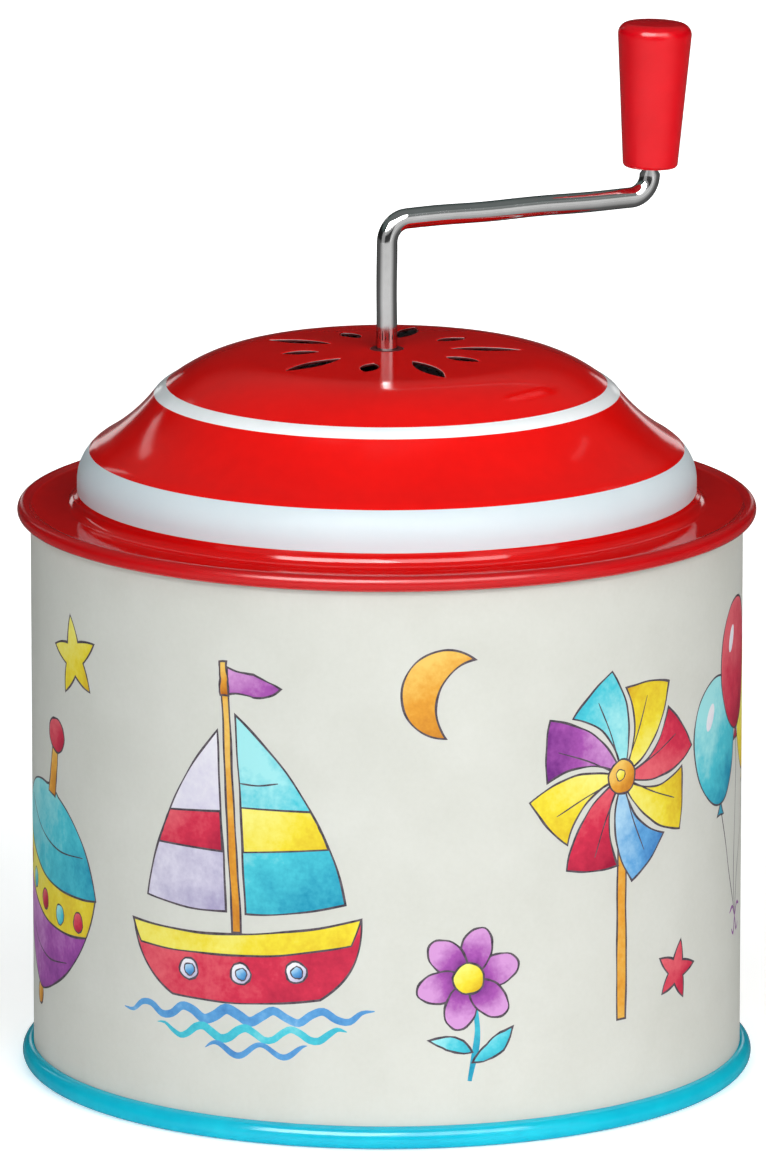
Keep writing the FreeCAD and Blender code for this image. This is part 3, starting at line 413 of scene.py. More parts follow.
def dome(r):
    """Outer height of the dome at a radius, and its slope."""
    if r <= SH_R:
        z = crown(r)
        return z, -r / (z - (CROWN_TOP - CROWN_R))
    xs = [q[0] for q in _shoulder]
    zs = [q[1] for q in _shoulder]
    z = float(np.interp(r, xs, zs))
    e = 0.05
    return z, (float(np.interp(r + e, xs, zs)) - float(np.interp(r - e, xs, zs))) / (2 * e)


def offset_in(path, t):
    """The same profile moved to its right by the sheet gauge."""
    nr = profile_normals(path.p, False, 179.0)
    out = []
    for i, q in enumerate(path.p):
        n = nr[i][0] if i < len(nr) else nr[-1][1]
        out.append((q[0] - n[0] * t, q[1] - n[1] * t))
    return out


DISC = 17.0
lid_mats = [RED, WHITE_PAINTED_SHADE, TIN, CUT_TIN_AND_GLINT, ROLL_PAINTED_SHADE, RING_PAINTED_LIGHT, GUTTER_PAINTED_SHADE, SLOT_WALL_SHADE]
out_path = Path((DISC, dome(DISC)[0]))
out_path.points([q for q in _shoulder if q[0] > DISC + 0.05], 0)
out_path.arc((23.60, 69.50), 3.40, 1, 5, 10)
out_path.arc((29.426, 64.31), 20.0, -1, 0, 28)
band = arc((29.426, 64.31), (31.43, 60.62), 4.40, 1, 40)
cutk = min(range(len(band)), key=lambda k: abs(band[k][0] - 30.15))
out_path.points(band[1:cutk + 1], 0)
out_path.points(band[cutk + 1:], 1)
out_path.line((31.43, 59.60), 1, 4)
out_path.line((31.43, 59.38), 6)
out_path.arc((32.63, 58.18), 1.20, -1, 6, 18)
out_path.line((35.62, 58.171), 6, 6)
out_path.points([(35.76, 58.174), (35.88, 58.187), (35.98, 58.213), (36.07, 58.253)], 6)


def on_curl(deg):
    a = math.radians(deg)
    return 36.675 + 0.825 * math.cos(a), 57.675 + 0.825 * math.sin(a)


out_path.line(on_curl(130), 4)
out_path.arc(on_curl(-112), 0.825, 1, 4, 40, True)
inner = offset_in(out_path, TG)
inner[0] = (DISC, dome(DISC)[0] - TG)
inner = inner[:1] + inner[1:-1:2] + inner[-1:]
out_path.points(list(reversed(inner)), 2)
b = Build()
revolve(b, out_path, False)

# top of the dome with its pierced slots
slots = []


def leaf(r0, r1, rad, deg, grow):
    """Pointed slot along a radius, grown outward by a margin."""
    a0, a1 = (r0 - grow * 1.6, 0.0), (r1 + grow * 1.6, 0.0)
    half = (a1[0] - a0[0]) / 2
    sag = rad - math.sqrt(rad * rad - ((r1 - r0) / 2) ** 2) + grow
    rr = (half * half + sag * sag) / (2 * sag)
    pts = arc(a0, a1, rr, -1, 22)[:-1] + arc(a1, a0, rr, -1, 22)[:-1]
    c, s = math.cos(math.radians(deg)), math.sin(math.radians(deg))
    return [(x * c - y * s, x * s + y * c) for x, y in pts]


for k in range(5):
    slots.append((6.3, 13.9, 7.60, 6.5 + 72 * k))
    slots.append((6.9, 10.7, 2.40, 42.5 + 72 * k))
co, edges, faces = [], [], []


def loop(pts):
    base = len(co)
    co.extend(Vector(q) for q in pts)
    n = len(pts)
    edges.extend((base + i, base + (i + 1) % n) for i in range(n))
    faces.append(list(range(base, base + n)))
    return base, n


loop([(DISC * math.cos(2 * math.pi * k / SEG), DISC * math.sin(2 * math.pi * k / SEG)) for k in range(SEG)])
HOLE_R, HOLE_N = 1.72, 48
hole_ids = loop([(HOLE_R * math.cos(2 * math.pi * k / HOLE_N), HOLE_R * math.sin(2 * math.pi * k / HOLE_N)) for k in range(HOLE_N)])
lip_rings, edge_rings = [], []
for s in slots:
    lip_rings.append(loop(leaf(*s, 0.16)))
for s in slots:
    edge_rings.append(loop(leaf(*s, 0.0)))
rims = np.array([tuple(v) for v in co[SEG + HOLE_N:]])
r = 2.3
while r < DISC - 0.3:
    n = max(24, int(2 * math.pi * r / 0.7))
    for k in range(n):
        a = 2 * math.pi * (k + 0.5 * (int(r * 10) % 2)) / n
        q = np.array([r * math.cos(a), r * math.sin(a)])
        if np.min(np.hypot(*(rims - q).T)) > 0.3:
            co.append(Vector(q))
    r += 0.62
vo, _, fo, ov, _, of_ = delaunay_2d_cdt(co, edges, faces, 1, 1e-6)
gone = {1} | set(range(2 + len(slots), 2 + 2 * len(slots)))
edge_set = set()
for base, n in edge_rings:
    edge_set.update(range(base, base + n))
edge_of = {}
for j, src in enumerate(ov):
    for i in src:
        edge_of[i] = j


def top_at(j):
    x, y = vo[j]
    rr = math.hypot(x, y)
    z, sl = dome(rr)
    on_edge = any(i in edge_set for i in ov[j])
    nx, ny, nz = (-sl * x / rr, -sl * y / rr, 1.0) if rr > 1e-9 else (0, 0, 1.0)
    return x, y, z - (0.07 if on_edge else 0.0), (nx, ny, nz), on_edge


slot_mid = [((s[0] + s[1]) / 2 * math.cos(math.radians(s[3])), (s[0] + s[1]) / 2 * math.sin(math.radians(s[3])),
             math.radians(s[3])) for s in slots]


def edge_normal(x, y, nrm):
    """Rolled-in lip of a slot: leans towards the slot's long axis."""
    mx, my, a = min(slot_mid, key=lambda q: (q[0] - x) ** 2 + (q[1] - y) ** 2)
    across = (-math.sin(a), math.cos(a))
    side = (x - mx) * across[0] + (y - my) * across[1]
    k = -0.8 if side > 0 else 0.8
    v = Vector((nrm[0] + across[0] * k, nrm[1] + across[1] * k, nrm[2]))
    return tuple(v.normalized())


for f, src in zip(fo, of_):
    if gone & set(src):
        continue
    tri = [top_at(j) for j in f]
    area = (tri[1][0] - tri[0][0]) * (tri[2][1] - tri[0][1]) - (tri[2][0] - tri[0][0]) * (tri[1][1] - tri[0][1])
    if area < 0:
        tri.reverse()
    up = [(q[0] * MM, q[1] * MM, q[2] * MM) for q in tri]
    nu = [edge_normal(q[0], q[1], q[3]) if q[4] else tuple(Vector(q[3]).normalized()) for q in tri]
    b.face(up, nu, 0)
    dn = [(q[0] * MM, q[1] * MM, (dome(math.hypot(q[0], q[1]))[0] - TG) * MM) for q in reversed(tri)]
    nd = [tuple(-Vector(q[3]).normalized()) for q in reversed(tri)]
    b.face(dn, nd, 2)


def wall(base, n, mat, high, low):
    for i in range(n):
        j0, j1 = edge_of[base + i], edge_of[base + (i + 1) % n]
        (x0, y0), (x1, y1) = vo[j0], vo[j1]
        z0, z1 = dome(math.hypot(x0, y0))[0], dome(math.hypot(x1, y1))[0]
        pts = [(x0 * MM, y0 * MM, (z0 - high) * MM), (x0 * MM, y0 * MM, (z0 - low) * MM),
               (x1 * MM, y1 * MM, (z1 - low) * MM), (x1 * MM, y1 * MM, (z1 - high) * MM)]
        nv = Vector((-(y1 - y0), x1 - x0, 0.0)).normalized()
        b.face(pts[::-1], [tuple(nv)] * 4, mat)


# Each slot wall: a light band at the top over a dark band below, painted glint over painted shade.
for base, n in edge_rings:
    wall(base, n, 3, 0.07, 0.125)
    wall(base, n, 7, 0.125, TG)
wall(hole_ids[0], hole_ids[1], 3, 0.0, TG)
lid = b.make("lid_shell", lid_mats)
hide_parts("lid")
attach(lid, "case")

# ===================================================================== base
base_mats = [BLUE, TIN]
bp = Path((0.0, 2.28))
bp.line((18.9, 2.28), 1, 6).line((19.7, 2.88), 1).line((23.3, 2.88), 1).line((24.1, 2.28), 1).line((33.4, 2.28), 1, 4)
bp.arc((33.9, 1.78), 0.5, 1, 1, 5).line((33.9, 0.70), 1).arc((34.62, 0.28), 0.72, -1, 1, 6)
bp.line((36.15, 0.28), 1, 2)
k = math.sqrt(1.15 ** 2 - 0.02 ** 2)
k2 = math.sqrt(0.87 ** 2 - 0.02 ** 2)
bp.arc((36.17, 1.15 + k2), 0.87, -1, 1, 14)
bp.line((36.17, 1.15 + k), 0)
bp.arc((36.15, 0.0), 1.15, 1, 0, 30)
bp.line((34.6, 0.0), 0, 2).arc((33.62, 0.70), 0.98, 1, 0, 8)
bp.line((33.62, 1.5), 0, 2).arc((33.12, 2.0), 0.5, -1, 0, 6)
bp.line((24.0, 2.0), 0, 4).line((23.2, 2.6), 0, 2).line((19.8, 2.6), 0, 2).line((19.0, 2.0), 0, 2).line((0.0, 2.0), 0, 6)
b = Build()
revolve(b, bp, True)
base = b.make("base_cap", base_mats)
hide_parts("base")
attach(base, "case")


# ============================================================== can and print
CAN_R, CAN_IN, Z0, Z1 = 36.15, 35.87, 0.62, 57.48
WALL0, WALL1 = 0.90, 57.20
ROUND = 2 * math.pi * CAN_R
layers = []                    # painted areas in order: (outline, material, shade)


def bow(p, q, bulge, n=None):
    """Points from p up to but without q, bulging outward for an
    anticlockwise outline by bulge times the chord."""
    p, q = np.array(p, float), np.array(q, float)
    ch = q - p
    ln = np.hypot(*ch)
    n = n or max(2, int(ln / 0.42))
    nrm = np.array([ch[1], -ch[0]])
    t = np.linspace(0, 1, n, endpoint=False)
    return p + ch * t[:, None] + nrm * (4 * bulge * t * (1 - t))[:, None]


def smooth_open(pts, step=0.4):
    """Even points on a smooth line through the given ones."""
    p = np.array(pts, float)
    p = np.vstack([2 * p[0] - p[1], p, 2 * p[-1] - p[-2]])
    out = []
    for i in range(1, len(p) - 2):
        n = max(2, int(np.hypot(*(p[i + 1] - p[i])) / step))
        for t in np.linspace(0, 1, n, endpoint=False):
            a = 2 * p[i]
            c = p[i + 1] - p[i - 1]
            d = 2 * p[i - 1] - 5 * p[i] + 4 * p[i + 1] - p[i + 2]
            e = -p[i - 1] + 3 * p[i] - 3 * p[i + 1] + p[i + 2]
            out.append(0.5 * (a + c * t + d * t * t + e * t ** 3))
    out.append(p[-2])
    return np.array(out)


def swell(p, dist):
    """Closed outline moved outward by a distance per point."""
    area = 0.5 * np.sum(p[:, 0] * np.roll(p[:, 1], -1) - np.roll(p[:, 0], -1) * p[:, 1])
    a, c = p - np.roll(p, 1, 0), np.roll(p, -1, 0) - p
    a /= np.maximum(np.hypot(a[:, 0], a[:, 1]), 1e-9)[:, None]
    c /= np.maximum(np.hypot(c[:, 0], c[:, 1]), 1e-9)[:, None]
    na, nc = np.stack([a[:, 1], -a[:, 0]], 1), np.stack([c[:, 1], -c[:, 0]], 1)
    m = (na + nc) / np.maximum(1.0 + np.sum(na * nc, 1), 0.35)[:, None]
    q = p + m * (dist * (1 if area > 0 else -1))[:, None]
    keep = []
    for i in range(len(p)):
        j = (i + 1) % len(p)
        if np.dot(q[j] - q[i], p[j] - p[i]) > 0:
            keep.append(i)
    return q[keep] if len(keep) > 5 else q


class Motif:
    """Draws in its own millimetres about a place on the unrolled wall."""

    def __init__(self, u, v, size=1.0, turn=0.0, seed=0):
        self.u, self.v, self.s = u, v, size
        self.c, self.n = math.cos(math.radians(turn)), math.sin(math.radians(turn))
        self.k = seed * 1.7 + 0.3

    def _map(self, p):
        p = np.asarray(p, float)
        x, y = p[:, 0] * self.s, p[:, 1] * self.s
        return np.stack([self.u + x * self.c - y * self.n, self.v + x * self.n + y * self.c], 1)

    def _tremble(self, n, amp):
        t = np.arange(n) / n * 2 * math.pi
        self.k += 1.31
        return amp * (np.sin(3 * t + self.k) + 0.7 * np.sin(5 * t + 2.1 * self.k) + 0.5 * np.sin(9 * t + 0.7 * self.k))

    def area(self, pts, col, shade=0.36, lean=(0.6, -0.8), line=0.21, mid=0.42, hand=0.035):
        p = self._map(pts)
        if hand:
            p = swell(p, self._tremble(len(p), hand))
        if line:
            w = line * (1.0 + self._tremble(len(p), 0.16))
            layers.append((swell(p, w * 0.5), "ink", None))
            p = swell(p, -w * 0.5)
        c = (p.max(0) + p.min(0)) / 2
        ext = max(1e-6, float(np.max(p.max(0) - p.min(0))) / 2)
        layers.append((p, col, (c[0], c[1], lean[0] * shade / ext, lean[1] * shade / ext, mid)))

    def path(self, pts, col, **kw):
        out = []
        for i, q in enumerate(pts):
            nx = pts[(i + 1) % len(pts)]
            out.append(bow(q[:2], nx[:2], q[2] if len(q) > 2 else 0.0))
        self.area(np.vstack(out), col, **kw)

    def oval(self, x, y, rx, ry, col, turn=0.0, **kw):
        n = max(20, int(2 * math.pi * max(rx, ry) * self.s / 0.4))
        t = np.arange(n) / n * 2 * math.pi
        c, s = math.cos(math.radians(turn)), math.sin(math.radians(turn))
        px, py = rx * np.cos(t), ry * np.sin(t)
        self.area(np.stack([x + px * c - py * s, y + px * s + py * c], 1), col, **kw)

    def stroke(self, pts, w, col="ink", taper=0.45, mid=0.42):
        p = self._map(smooth_open(pts))
        d = np.gradient(p, axis=0)
        d /= np.maximum(np.hypot(d[:, 0], d[:, 1]), 1e-9)[:, None]
        nrm = np.stack([-d[:, 1], d[:, 0]], 1)
        t = np.linspace(0, 1, len(p))
        self.k += 0.9
        half = 0.5 * w * (1 - taper * (2 * np.abs(t - 0.5)) ** 6) * (1 + 0.14 * np.sin(11 * t + self.k))
        q = np.vstack([p + nrm * half[:, None], (p - nrm * half[:, None])[::-1]])
        layers.append((q, col, (0.0, 0.0, 0.0, 0.0, mid)))


def sailing_boat(u, v, s, turn):
    m = Motif(u, v, s, turn, 1)
    for y, x0, x1, w, col in ((-9.3, -17.5, 17.0, 0.95, "sky"), (-11.6, -12.0, 13.5, 0.8, "turq"), (-13.6, -5.0, 8.5, 0.6, "sky")):
        xs = np.linspace(x0, x1, 23)
        m.stroke([(x, y + 0.75 * math.sin(x * 1.05 + y)) for x in xs], w, col, 0.9, 0.55)
    m.path([(-0.45, 1.0), (0.75, 1.0), (0.65, 30.6), (-0.25, 30.6)], "ochre")
    m.path([(1.5, 3.4, 0.03), (14.2, 4.6, 0.09), (1.5, 28.0, 0.0)], "turq", shade=0.42)
    lee = bow((14.2, 4.6), (1.5, 28.0), 0.09, 100)
    i0, i1 = 26, 46
    strip = np.vstack([[(1.62, lee[i0][1] - 0.5)], lee[i0:i1] - np.array([0.06, 0.03]), [(1.62, lee[i1][1] + 0.1)]])
    m.area(strip, "yellow", shade=0.3, hand=0.0)
    m.stroke([(1.6, 19.6), (4.0, 19.4), (6.6, 19.7)], 0.17)
    m.path([(-1.1, 26.0, 0.07), (-12.6, 4.9, 0.04), (-1.1, 3.6, 0.0)], "lav", shade=0.40, mid=0.45)
    lee = bow((-1.1, 26.0), (-12.6, 4.9), 0.07, 100)
    j0, j1 = 52, 72
    strip = np.vstack([lee[j0:j1] + np.array([0.06, 0.0]), [(-1.22, lee[j1][1] - 0.4)], [(-1.22, lee[j0][1] + 0.2)]])
    m.area(strip, "red", shade=0.3, hand=0.0)
    m.path([(-15.2, 1.6, 0.13), (-9.4, -7.2, 0.03), (10.4, -7.2, 0.14), (16.0, 2.8, -0.045)], "red", shade=0.40)
    m.path([(-15.2, 1.6, 0.03), (-14.1, -1.2, 0.035), (14.6, -0.5, 0.02), (16.0, 2.8, -0.045)], "yellow", shade=0.3)
    for x, y in ((-6.8, -3.9), (0.4, -4.1), (7.6, -3.7)):
        m.oval(x, y, 1.35, 1.35, "lav")
        m.oval(x + 0.1, y - 0.05, 0.75, 0.75, "sky", line=0.14)
    m.path([(0.7, 30.6, -0.10), (4.0, 30.2, 0.10), (7.6, 31.4, 0.0), (4.2, 33.2, -0.08), (0.65, 34.0, 0.0)], "purple")
    m.path([(-0.45, 30.4), (0.72, 30.4), (0.60, 34.6), (-0.30, 34.6)], "ochre")


def pinwheel(u, v, s, turn):
    m = Motif(u, v, s, 0.0, 2)
    m.path([(-0.6, -24.0), (0.6, -24.0), (0.5, 0.0), (-0.5, 0.0)], "ochre", lean=(1.0, 0.0), shade=0.3)
    cols = ["red", "yellow", "turq", "purple", "yellow", "red", "sky", "yellow"]
    for k in range(8):
        a = math.radians(45 * k + turn)

        def pt(rad, da):
            return rad * math.cos(a + math.radians(da)), rad * math.sin(a + math.radians(da))
        m.path([(0.0, 0.0, 0.14), (*pt(10.6, -2), 0.05), (*pt(8.7, 33), -0.16)], cols[k], shade=0.40,
               lean=(math.cos(a + 1.0), math.sin(a + 1.0)))
        m.stroke([(0.0, 0.0), pt(4.4, 9), pt(8.2, 12)], 0.15)
    m.oval(0, 0, 1.7, 1.7, "ochre")
    m.oval(-0.2, 0.2, 0.55, 0.55, "yellow", line=0.12)


def balloons(u, v, s):
    m = Motif(u, v, s, 0.0, 3)
    tie = (0.5, -19.0)
    for x, y, col, tilt in ((-6.2, 1.0, "turq", 10), (6.4, 2.4, "yellow", -9), (0.2, 8.0, "red", 0)):
        kx = x + 0.09 * tilt
        m.stroke([(kx, y - 7.2), (kx * 0.75 + 0.5, y - 11.5), (kx * 0.35 - 0.3, -14.0), tie], 0.2)
        m.path([(kx, y - 6.6), (kx + 0.9, y - 8.0), (kx - 0.9, y - 8.0)][::-1], col, shade=0.1, mid=0.7)
        n = 64
        t = np.arange(n) / n * 2 * math.pi
        px, py = 5.5 * np.cos(t) * (1 + 0.10 * np.sin(t)), 6.9 * np.sin(t)
        c, sn = math.cos(math.radians(tilt)), math.sin(math.radians(tilt))
        m.area(np.stack([x + px * c - py * sn, y + px * sn + py * c], 1), col, shade=0.46)
        m.oval(x - 2.0, y + 2.9, 0.75, 1.5, "lav", turn=-28, line=0.0, mid=0.12, hand=0.0)
    for dx, dy in ((-1.4, 1.1), (1.5, 1.0), (-0.9, -1.6), (1.1, -1.5)):
        m.stroke([tie, (tie[0] + dx * 0.8, tie[1] + dy * 1.1), (tie[0] + dx * 1.7, tie[1] + dy * 0.7)], 0.34, "purple", 0.5, 0.7)


def spinning_top(u, v, s, turn):
    m = Motif(u, v, s, turn, 4)
    m.oval(0, -12.9, 1.0, 1.3, "ochre")
    m.path([(-10.2, -2.4, 0.10), (-1.3, -11.9, 0.12), (1.3, -11.9, 0.10), (10.2, -2.4, -0.10)], "purple", shade=0.42)
    m.stroke([(-6.9, -6.6), (-2.4, -8.1), (2.4, -8.1), (6.9, -6.6)], 0.17)
    m.path([(-11.0, 2.0, 0.04), (-10.2, -2.4, 0.10), (10.2, -2.4, 0.04), (11.0, 2.0, -0.10)], "yellow", shade=0.36)
    for k, (x, y) in enumerate(((-8.4, -1.5), (-4.4, -2.4), (0.0, -2.7), (4.4, -2.4), (8.4, -1.5))):
        m.oval(x, y, 1.05 - 0.03 * abs(x) / 2, 1.05, ("red", "turq")[k % 2], line=0.15)
    m.path([(-11.0, 2.0, 0.10), (11.0, 2.0, 0.14), (1.7, 9.2, 0.12), (-1.7, 9.2, 0.14)], "turq", shade=0.42)
    m.stroke([(-8.0, 5.3), (-2.8, 3.9), (2.8, 3.9), (8.0, 5.3)], 0.17)
    m.path([(-0.95, 8.8), (0.95, 8.8), (0.75, 14.2), (-0.75, 14.2)], "ochre")
    m.oval(0, 15.2, 2.0, 1.7, "red")


def star(u, v, s, turn, col="yellow"):
    m = Motif(u, v, s, turn, 5)
    pts = []
    for k in range(10):
        a = math.radians(90 + 36 * k)
        r = 4.4 if k % 2 == 0 else 1.95
        pts.append((r * math.cos(a), r * math.sin(a), 0.05 if k % 2 else 0.05))
    m.path(pts, col, hand=0.02)


def crescent(u, v, s, turn):
    m = Motif(u, v, s, turn, 6)
    out = arc((1.6, 4.6), (1.6, -4.6), 4.9, -1, 40, True)[:-1]
    inn = arc((1.6, -4.6), (1.6, 4.6), 5.4, 1, 26)[:-1]
    m.area(np.array(out + inn), "ochre", shade=0.36, hand=0.02)


def flower(u, v, s, col):
    m = Motif(u, v, s, 0.0, 7)
    m.stroke([(0.2, -1.0), (0.9, -5.5), (0.1, -10.5)], 0.62, "turq", 0.2, 0.8)
    m.path([(0.4, -8.6, 0.22), (4.6, -5.2, 0.10)], "turq")
    m.path([(-3.9, -6.2, 0.10), (0.5, -7.6, 0.22)][::-1], "turq")
    for k in range(6):
        a = math.radians(60 * k + 15)
        m.oval(3.0 * math.cos(a), 3.0 * math.sin(a), 2.35, 1.6, col, turn=60 * k + 15, shade=0.4, lean=(-math.cos(a), -math.sin(a)))
    m.oval(0, 0, 1.6, 1.6, "yellow")


def drum(u, v, s, turn):
    m = Motif(u, v, s, turn, 8)
    m.path([(-9.6, 6.2, 0.0), (-9.6, -6.4, 0.10), (9.6, -6.4, 0.0), (9.6, 6.2, 0.02)], "red", shade=0.42, lean=(1.0, -0.2))
    m.path([(-9.9, -3.9, 0.0), (-9.9, -6.9, 0.10), (9.9, -6.9, 0.0), (9.9, -3.9, -0.10)], "yellow")
    m.path([(-9.9, 6.0, 0.0), (-9.9, 3.2, 0.10), (9.9, 3.2, 0.0), (9.9, 6.0, 0.05)], "yellow")
    for k in range(6):
        x = -8.4 + 3.36 * k
        yo = -1.75 * (1 - (x / 9.6) ** 2)
        yn = -1.75 * (1 - ((x + 1.68) / 9.6) ** 2)
        m.stroke([(x, 3.0 + yo), (x + 0.84, 0.0 + (yo + yn) / 2), (x + 1.68, -4.0 + yn)], 0.3, "lav", 0.1, 0.2)
        if k < 5:
            y2 = -1.75 * (1 - ((x + 3.36) / 9.6) ** 2)
            m.stroke([(x + 1.68, -4.0 + yn), (x + 2.52, 0.0 + (y2 + yn) / 2), (x + 3.36, 3.0 + y2)], 0.3, "lav", 0.1, 0.2)
    m.oval(0, 6.2, 9.9, 2.5, "lav", shade=0.25)
    for sx, rot in ((-1, 32), (1, 148)):
        c, sn = math.cos(math.radians(rot)), math.sin(math.radians(rot))

        def at(x, y):
            return (sx * 1.2 + x * c - y * sn, 9.2 + x * sn + y * c)
        m.path([at(-7.5, -0.42), at(7.0, -0.36), at(7.0, 0.36), at(-7.5, 0.42)], "ochre")
        m.oval(*at(-8.0, 0.0), 1.25, 1.05, "turq", turn=rot)


def kite(u, v, s, turn):
    m = Motif(u, v, s, turn, 9)
    top, rt, bot, lf, mid = (0, 13.5), (9.4, 3.2), (0, -13.0), (-9.4, 3.2), (0, 3.2)
    tail = [(0, -13.0), (-2.6, -16.5), (1.4, -20.0), (-1.8, -23.6), (1.0, -27.0)]
    m.stroke(tail, 0.22)
    for (x, y), col, rot in zip(((-2.3, -16.2), (0.9, -20.0), (-1.4, -23.6)), ("red", "yellow", "turq"), (35, -20, 30)):
        c, sn = math.cos(math.radians(rot)), math.sin(math.radians(rot))
        for sg in (-1, 1):
            tri = [(0, 0), (sg * 2.6, 1.25), (sg * 2.6, -1.25)]
            if sg > 0:
                tri = tri[::-1]
            m.path([(x + a * c - d * sn, y + a * sn + d * c, 0.06) for a, d in tri], col)
        m.oval(x, y, 0.5, 0.5, "ochre", line=0.14)
    m.path([mid, rt, top], "yellow", shade=0.34)
    m.path([mid, top, lf], "turq", shade=0.34)
    m.path([mid, lf, bot], "purple", shade=0.38)
    m.path([mid, bot, rt], "red", shade=0.38)
    m.stroke([(0, 13.2), (0.1, 4.0), (0, -12.6)], 0.26)
    m.stroke([(-9.0, 3.2), (0, 3.4), (9.0, 3.2)], 0.26)


def parasol(u, v, s, turn):
    m = Motif(u, v, s, turn, 10)
    hook = [(0, 2.0), (0, -8.0), (0.1, -12.6), (1.4, -14.9), (3.5, -14.6), (4.2, -12.6)]
    m.stroke(hook, 1.5, "ink", 0.15)
    m.stroke(hook, 1.12, "ochre", 0.15, 0.45)
    xs = [-14.0, -8.7, -3.0, 3.0, 8.7, 14.0]
    cols = ["purple", "yellow", "turq", "yellow", "red"]
    bul = [0.20, 0.12, 0.035, -0.035, -0.12, -0.20]
    apex = (0.0, 11.6)
    for i in range(5):
        l, r = (xs[i], -0.3 * abs(xs[i]) / 5), (xs[i + 1], -0.3 * abs(xs[i + 1]) / 5)
        m.path([(*l, -0.16), (*r, -bul[i + 1]), (*apex, bul[i])], cols[i], shade=0.40)
    m.path([(-0.4, 11.3), (0.4, 11.3), (0.15, 13.8), (-0.15, 13.8)], "ochre")


def cloud(u, v, s):
    m = Motif(u, v, s, 0.0, 12)
    puffs = ((-4.6, 0.0, 2.9, 2.4), (-0.9, 1.9, 3.6, 3.2), (3.4, 0.6, 3.2, 2.7), (0.2, -0.9, 4.6, 2.1))
    for x, y, a, c in puffs:
        m.oval(x, y, a + 0.13, c + 0.13, "ink", line=0.0, hand=0.02)
    for x, y, a, c in puffs:
        m.oval(x, y, a - 0.10, c - 0.10, "lav", line=0.0, hand=0.02, shade=0.4, mid=0.42)


def pail(u, v, s, turn):
    m = Motif(u, v, s, turn, 13)
    m.stroke([(-7.4, 5.0), (-6.2, 10.6), (0.0, 13.4), (6.2, 10.6), (7.4, 5.0)], 0.75, "ink", 0.1)
    m.stroke([(-7.4, 5.0), (-6.2, 10.6), (0.0, 13.4), (6.2, 10.6), (7.4, 5.0)], 0.40, "lav", 0.1, 0.4)
    m.path([(-7.8, 5.0, 0.0), (-5.6, -7.4, 0.12), (5.6, -7.4, 0.0), (7.8, 5.0, 0.03)], "sky", shade=0.44, lean=(1.0, -0.3))
    m.path([(-7.0, 0.6, 0.0), (-6.6, -2.4, 0.11), (6.6, -2.4, 0.0), (7.0, 0.6, -0.11)], "yellow")
    m.oval(0, 5.0, 7.9, 1.8, "lav", shade=0.2, mid=0.62)
    m.oval(0, 4.9, 6.9, 1.2, "sky", shade=0.1, mid=0.86, line=0.14)
    m.path([(10.6, -9.4, 0.20), (15.4, -9.0, 0.04), (15.2, -2.6, 0.02), (10.8, -2.8, 0.04)], "red")
    m.path([(12.4, -2.7), (13.6, -2.65), (13.3, 7.4), (12.3, 7.4)], "ochre")
    m.oval(12.8, 8.3, 2.1, 0.9, "ochre")


sailing_boat(-15.5, 20.5, 0.82, 3.0)
pinwheel(25.5, 36.0, 1.04, 9.0)
spinning_top(-45.5, 22.0, 1.02, -12.0)
star(-38.0, 46.0, 0.98, 10.0)
crescent(6.0, 46.2, 0.92, -20.0)
flower(8.2, 17.2, 1.0, "purple")
balloons(48.5, 35.5, 0.98)
star(33.8, 14.6, 0.72, -14.0, "red")
drum(74.0, 20.5, 1.0, -6.0)
star(69.0, 45.0, 0.9, 16.0, "turq")
kite(98.0, 37.2, 0.94, -13.0)
flower(86.5, 45.5, 0.78, "red")
parasol(-76.0, 31.5, 1.0, 8.0)
pail(-98.0, 16.5, 0.86, -4.0)
cloud(-97.5, 45.5, 1.0)
star(-61.0, 46.5, 0.7, -8.0, "purple")
star(-67.0, 10.5, 0.7, 12.0, "yellow")

# unrolled wall cut along every printed edge
us = sorted(set([round(-ROUND / 2 + ROUND * k / 240, 6) for k in range(241)] +
                [round(ROUND / 2 - w, 6) for w in (1.60, 1.44, 1.02)]))
vs = np.linspace(WALL0, WALL1, 13)
gco, gedge, gface = [], [], []
for uu in us:
    for vv in vs:
        gco.append(Vector((uu, float(vv))))
nv = len(vs)
for i in range(len(us)):
    for j in range(nv):
        if j + 1 < nv:
            gedge.append((i * nv + j, i * nv + j + 1))
        if i + 1 < len(us):
            gedge.append((i * nv + j, (i + 1) * nv + j))
for p, col, tn in layers:
    base_i = len(gco)
    gco.extend(Vector((float(x), float(y))) for x, y in p)
    gedge.extend((base_i + i, base_i + (i + 1) % len(p)) for i in range(len(p)))
vo, _, fo, _, _, _ = delaunay_2d_cdt(gco, gedge, [], 0, 1e-5)
pts2 = np.array([(q[0], q[1]) for q in vo])
tris = np.array([list(f) for f in fo])
mids = pts2[tris].mean(axis=1)
painted = np.full(len(tris), -1, dtype=int)
for li, (p, col, tn) in enumerate(layers):
    lo, hi = p.min(0), p.max(0)
    near = np.nonzero(np.all((mids >= lo) & (mids <= hi), axis=1))[0]
    if not len(near):
        continue
    x, y = mids[near, 0], mids[near, 1]
    turns = np.zeros(len(near), dtype=int)
    for (x0, y0), (x1, y1) in zip(p, np.roll(p, -1, 0)):
        left = (x1 - x0) * (y - y0) - (x - x0) * (y1 - y0)
        turns += ((y0 <= y) & (y1 > y) & (left > 0)).astype(int)
        turns -= ((y0 > y) & (y1 <= y) & (left < 0)).astype(int)
    painted[near[turns != 0]] = li

can_keys = ["cream", "ink", "tin", "seam"] + list(WASH)
can_mats = [CREAM, INK, TIN, SEAM] + [WASH[k] for k in WASH]
SEAM0, SEAM1, SEAM2 = ROUND / 2 - 1.60, ROUND / 2 - 1.44, ROUND / 2 - 1.02


